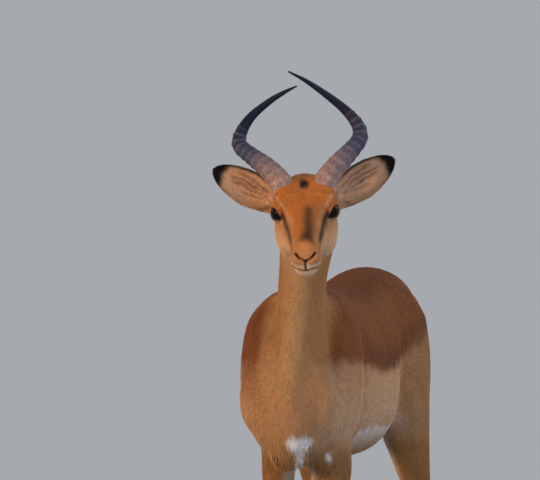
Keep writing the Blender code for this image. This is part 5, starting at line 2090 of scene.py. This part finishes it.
# ---------------------------------------------------------------- eyes
@dataclass
class Eye:
    """An eyeball with its cornea, the moist rim of its lids and the lashes of the upper one."""

    side: Side
    meridians: int = 56
    bands: int = 36
    sunk: float = 0.0003
    cornea: float = 0.0009
    cornea_edge: float = 0.70
    rim: float = 0.0006
    rim_out: float = 0.028
    rim_steps: int = 88
    rim_sides: int = 10
    lash: float = 0.0090
    lashes: int = 46

    def piece(self, name: str, bm: Body) -> Piece:
        """Returns a piece of this eye, in its pose."""
        return mesh_object(f"{name}_{self.side.name.lower()}", POSE.carry(bm))

    def ball(self) -> Piece:
        """Returns the eyeball, its pole on the look direction, with each point's place on it."""
        off = math.pi * np.arange(self.bands + 1)[:, None] / self.bands
        way = around(self.meridians)[None, :]
        bulge = self.cornea * np.maximum(0, 1 - (off / self.cornea_edge) ** 2)
        spots = EYE.spot(self.side, off, way, EYE.radius - self.sunk + bulge)
        aside = np.sin(off)
        gaze = np.stack([aside * np.cos(way), aside * np.sin(way), 0 * off * way], axis=2)
        bm = bmesh.new()
        add_tube(bm, spots[1:-1], {"gaze": gaze[1:-1]}, tips=(spots[0, 0], spots[-1, 0]))
        return self.piece("eyeball", rounded(bm))

    def lid_point(self, way: Rows | float, out: float, reach: float) -> Rows:
        """Returns places on the lids' edge, in the head's frame.

        Args:
            way: the way round the eye.
            out: how far outside the edge, in radians.
            reach: how far over the ball.
        """
        return EYE.spot(self.side, EYE.lid_angle(way) + out, way, EYE.radius + reach)

    def lid_rim(self) -> Piece:
        """Returns the rim as a closed tube that lies on the ball along both lids."""
        angle = around(self.rim_sides)[:, None]
        rings = []
        for way in around(self.rim_steps):
            before, middle, after = self.lid_point(way + np.array((-0.02, 0, 0.02)), self.rim_out, 0.0004)
            out = unit(middle - EYE.centre(self.side))
            across = np.cross(unit(after - before), out)
            radius = self.rim * (1 + 5 * max(0.0, abs(math.cos(way)) - 0.9))
            rings.append(middle + radius * (out * np.cos(angle) + across * 1.3 * np.sin(angle)))
        bm = bmesh.new()
        add_tube(bm, rings, looped=True)
        return self.piece("lid_rim", rounded(bm))

    def lash_row(self) -> Piece:
        """Returns the upper lashes: slim bent spikes that fan out over the eye."""
        bm = bmesh.new()
        look, back, upper = EYE.axes(self.side)
        draw = np.random.default_rng(5)
        angle = around(3)[:, None]
        for i in range(self.lashes):
            way = math.radians(20 + 142 * i / (self.lashes - 1))
            root = self.lid_point(way, 0.03, 0.0008)
            out = unit(root - EYE.centre(self.side))
            aside = back * 0.35 * math.cos(way) + upper * 0.15 * math.sin(way)
            fan = unit(out * 0.75 + look * 0.25 + aside)
            droop = upper * -0.12 + draw.normal(size=3) * 0.05
            length = self.lash * (0.55 + 0.45 * math.sin(way)) * draw.uniform(0.75, 1.1)
            across = unit(np.cross(fan, look))
            section = across * np.cos(angle) + np.cross(fan, across) * np.sin(angle)
            spots = [root + (fan * s + droop * s * s) * length for s in (0.0, 0.5, 1.0)]
            rings = [spots[0] + 0.00022 * section, spots[1] + 0.00016 * section]
            add_tube(bm, rings, tips=(None, spots[2]))
        return self.piece("lashes", bm)


# ---------------------------------------------------------------- hooves
@dataclass
class Hoof:
    """The two claws of a foot, flat below and inside, with growth lines round the wall."""

    foot: str
    width: float = 0.0192
    segments: int = 44
    levels: int = 18
    lines: int = 8
    line_height: float = 0.00022
    sole_edge: float = 0.0008
    drawn_in: float = 0.0005

    def nodes(self) -> list[str]:
        """Returns the names of the solids that this hoof stands for."""
        return [f"claw_{self.foot}_{side.name.lower()}" for side in Side]

    def build(self) -> Piece:
        """Returns both claws in one mesh, each where its solid is."""
        bm = bmesh.new()
        for side, node in zip(Side, self.nodes()):
            low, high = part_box(node)
            inner = low[0] if side > 0 else high[0]
            self.claw(bm, side, inner, high[1] - HOOF_LENGTH / 2 - self.drawn_in)
        for face in rounded(bm).faces:
            face.smooth = abs(face.normal.z) < 0.95 or face.calc_center_median().z > 0.005
        return mesh_object(f"hoof_{self.foot}", bm)

    def claw(self, bm: Body, side: Side, inner: float, y: float) -> None:
        """Adds one claw.

        Args:
            bm: the mesh to add to.
            side: the way that the claw bulges.
            inner: x of the flat side along the cleft.
            y: the middle of the claw.
        """
        angle = around(self.segments)
        forward, across = np.cos(angle), np.sin(angle)
        rise = np.linspace(0, 1, self.levels + 1)[:, None]
        rounded_side = np.copysign(np.abs(across) ** (2 / 3.2), across)
        narrow = 1 - 0.50 * np.maximum(0, forward) ** 1.5
        bulge = self.width * (0.5 + 0.5 * rounded_side * narrow)
        edge = self.sole_edge * np.maximum(0.0, 1 - rise / 0.06)
        reach = forward * (HOOF_LENGTH / 2 - edge) * (1 - 0.36 * rise * (forward > 0)) - 0.003 * rise
        height = rise * (HOOF_HEEL + (HOOF_TOE - HOOF_HEEL) * (0.5 + reach / HOOF_LENGTH))
        ring = self.line_height * np.sin(rise * TURN * self.lines) * (rise < 0.98)
        out = bulge * (1 - 0.10 * rise) + ring * (bulge > 0.3 * self.width)
        spots = np.stack([inner + side * out, y - reach - ring * forward, height], axis=2)
        full = np.ones_like(height)
        grain = np.stack([0.02 * forward * full, 0.02 * across * full, 0.03 * rise * full], axis=2)
        add_tube(bm, spots, {"along": rise * full, "grain": grain})


# ---------------------------------------------------------------- studio
@dataclass
class Studio:
    """A plain pale floor, a low warm key light, a cool fill, a soft back light and the camera.

    A lamp is where it shines from, how broad it looks in degrees, its strength and colour.
    """

    floor: float = 160.0
    floor_colour: str = "BBC8D3"
    sky: str = "D2D6DE"
    sky_strength: float = 0.58
    lamps: tuple[tuple[str, Point, float, float, str], ...] = (
        ("key", (-0.70, -0.71, 0.24), 14, 2.35, "FFCF98"),
        ("fill", (0.85, -0.80, 0.45), 40, 0.85, "DCE6FF"),
        ("back", (0.75, 0.65, 0.60), 30, 0.90, "FFE0B8"),
    )
    camera_at: Point = (2.8511, -13.8999, 1.7570)
    aim: Point = (-0.0542, -0.2314, 0.9023)
    lens: float = 532.0
    sensor: float = 36.0
    sees: float = 400.0

    def build(self) -> None:
        """Sets the floor, the lights, the world and the camera."""
        scene = bpy.context.scene
        scene.view_settings.view_transform = "Standard"
        bm = bmesh.new()
        bmesh.ops.create_grid(bm, x_segments=8, y_segments=8, size=self.floor)
        floor = mesh_object("floor", bm)
        paint = Material("painted_studio_floor").finish(linear(self.floor_colour), 0.85, 0.0)
        floor.data.materials.append(paint)
        for name, way, spread, strength, colour in self.lamps:
            lamp = bpy.data.lights.new(name, "SUN")
            lamp.angle = math.radians(spread)
            lamp.energy = strength
            lamp.color = linear(colour)[:3]
            self.point(linked(name, lamp), -Vector(way))
        world = bpy.data.worlds.new("studio")
        scene.world = world
        world.use_nodes = True
        sky = world.node_tree.nodes["Background"].inputs
        sky["Color"].default_value = linear(self.sky)
        sky["Strength"].default_value = self.sky_strength
        camera = linked("camera", bpy.data.cameras.new("camera"))
        camera.data.lens = self.lens
        camera.data.sensor_width = self.sensor
        camera.data.clip_end = self.sees
        camera.location = Vector(self.camera_at) + plan_shift()
        self.point(camera, Vector(self.aim) - Vector(self.camera_at))
        scene.camera = camera

    def point(self, obj: Piece, way: Vector) -> None:
        """Turns a lamp or the camera to look a way."""
        obj.rotation_euler = way.to_track_quat("-Z", "Y").to_euler()


# ---------------------------------------------------------------- putting it together
FLESH_NODES = (
    "head", "neck", "forequarters", "barrel", "hindquarters", "tail", "ear_left", "ear_right",
    *(f"{part}_{side}" for side in ("left", "right") for part in (
        "forearm", "fore_cannon", "fore_pastern", "shank", "hind_cannon", "hind_pastern")),
)
COAT_SLOTS = {
    "coat_barrel": "saddle_coat", "coat_hindquarters": "saddle_coat", "coat_ears": "ear",
}


def seat(
    piece: Piece, slot: str, nodes: Iterable[str] = (), finish: bpy.types.Material | None = None,
    packed: bool = False,
) -> None:
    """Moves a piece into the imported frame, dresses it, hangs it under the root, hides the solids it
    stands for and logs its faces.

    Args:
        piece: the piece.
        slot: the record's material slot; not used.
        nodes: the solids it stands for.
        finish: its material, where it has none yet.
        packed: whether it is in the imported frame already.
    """
    if not packed:
        piece.data.transform(Matrix.Translation(plan_shift()))
    if finish:
        piece.data.materials.append(finish)
    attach(piece, "root")
    if nodes:
        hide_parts(*nodes)
    log.info("%s: %d faces", piece.name, len(piece.data.polygons))


def main() -> None:
    """Builds every piece in order."""
    logging.basicConfig(level=logging.INFO, format="%(name)s: %(message)s")
    animal = Animal()
    hide = animal.make_hide()
    coat = animal.make_coat(hide)
    seat(hide, "coat", FLESH_NODES)
    for piece in coat:
        seat(piece, COAT_SLOTS.get(piece.name, "coat"))
    horn_keratin, hoof_keratin = HornFinish().make(), HoofFinish().make()
    wet, lid_skin = EyeFinish().make(), LidFinish().make()
    for horn in HORNS:
        seat(horn.build(), "horn", [f"horn_{horn.side.name.lower()}"], horn_keratin)
    for side in Side:
        eye = Eye(side)
        seat(eye.ball(), "eye", [f"eye_{side.name.lower()}"], wet)
        seat(eye.lid_rim(), "eye", (), lid_skin)
        seat(eye.lash_row(), "eye", (), lid_skin)
    for foot in STANCE.feet():
        hoof = Hoof(foot)
        seat(hoof.build(), "hoof", hoof.nodes(), hoof_keratin, packed=True)
    Studio().build()


if __name__ == "__main__":
    main()
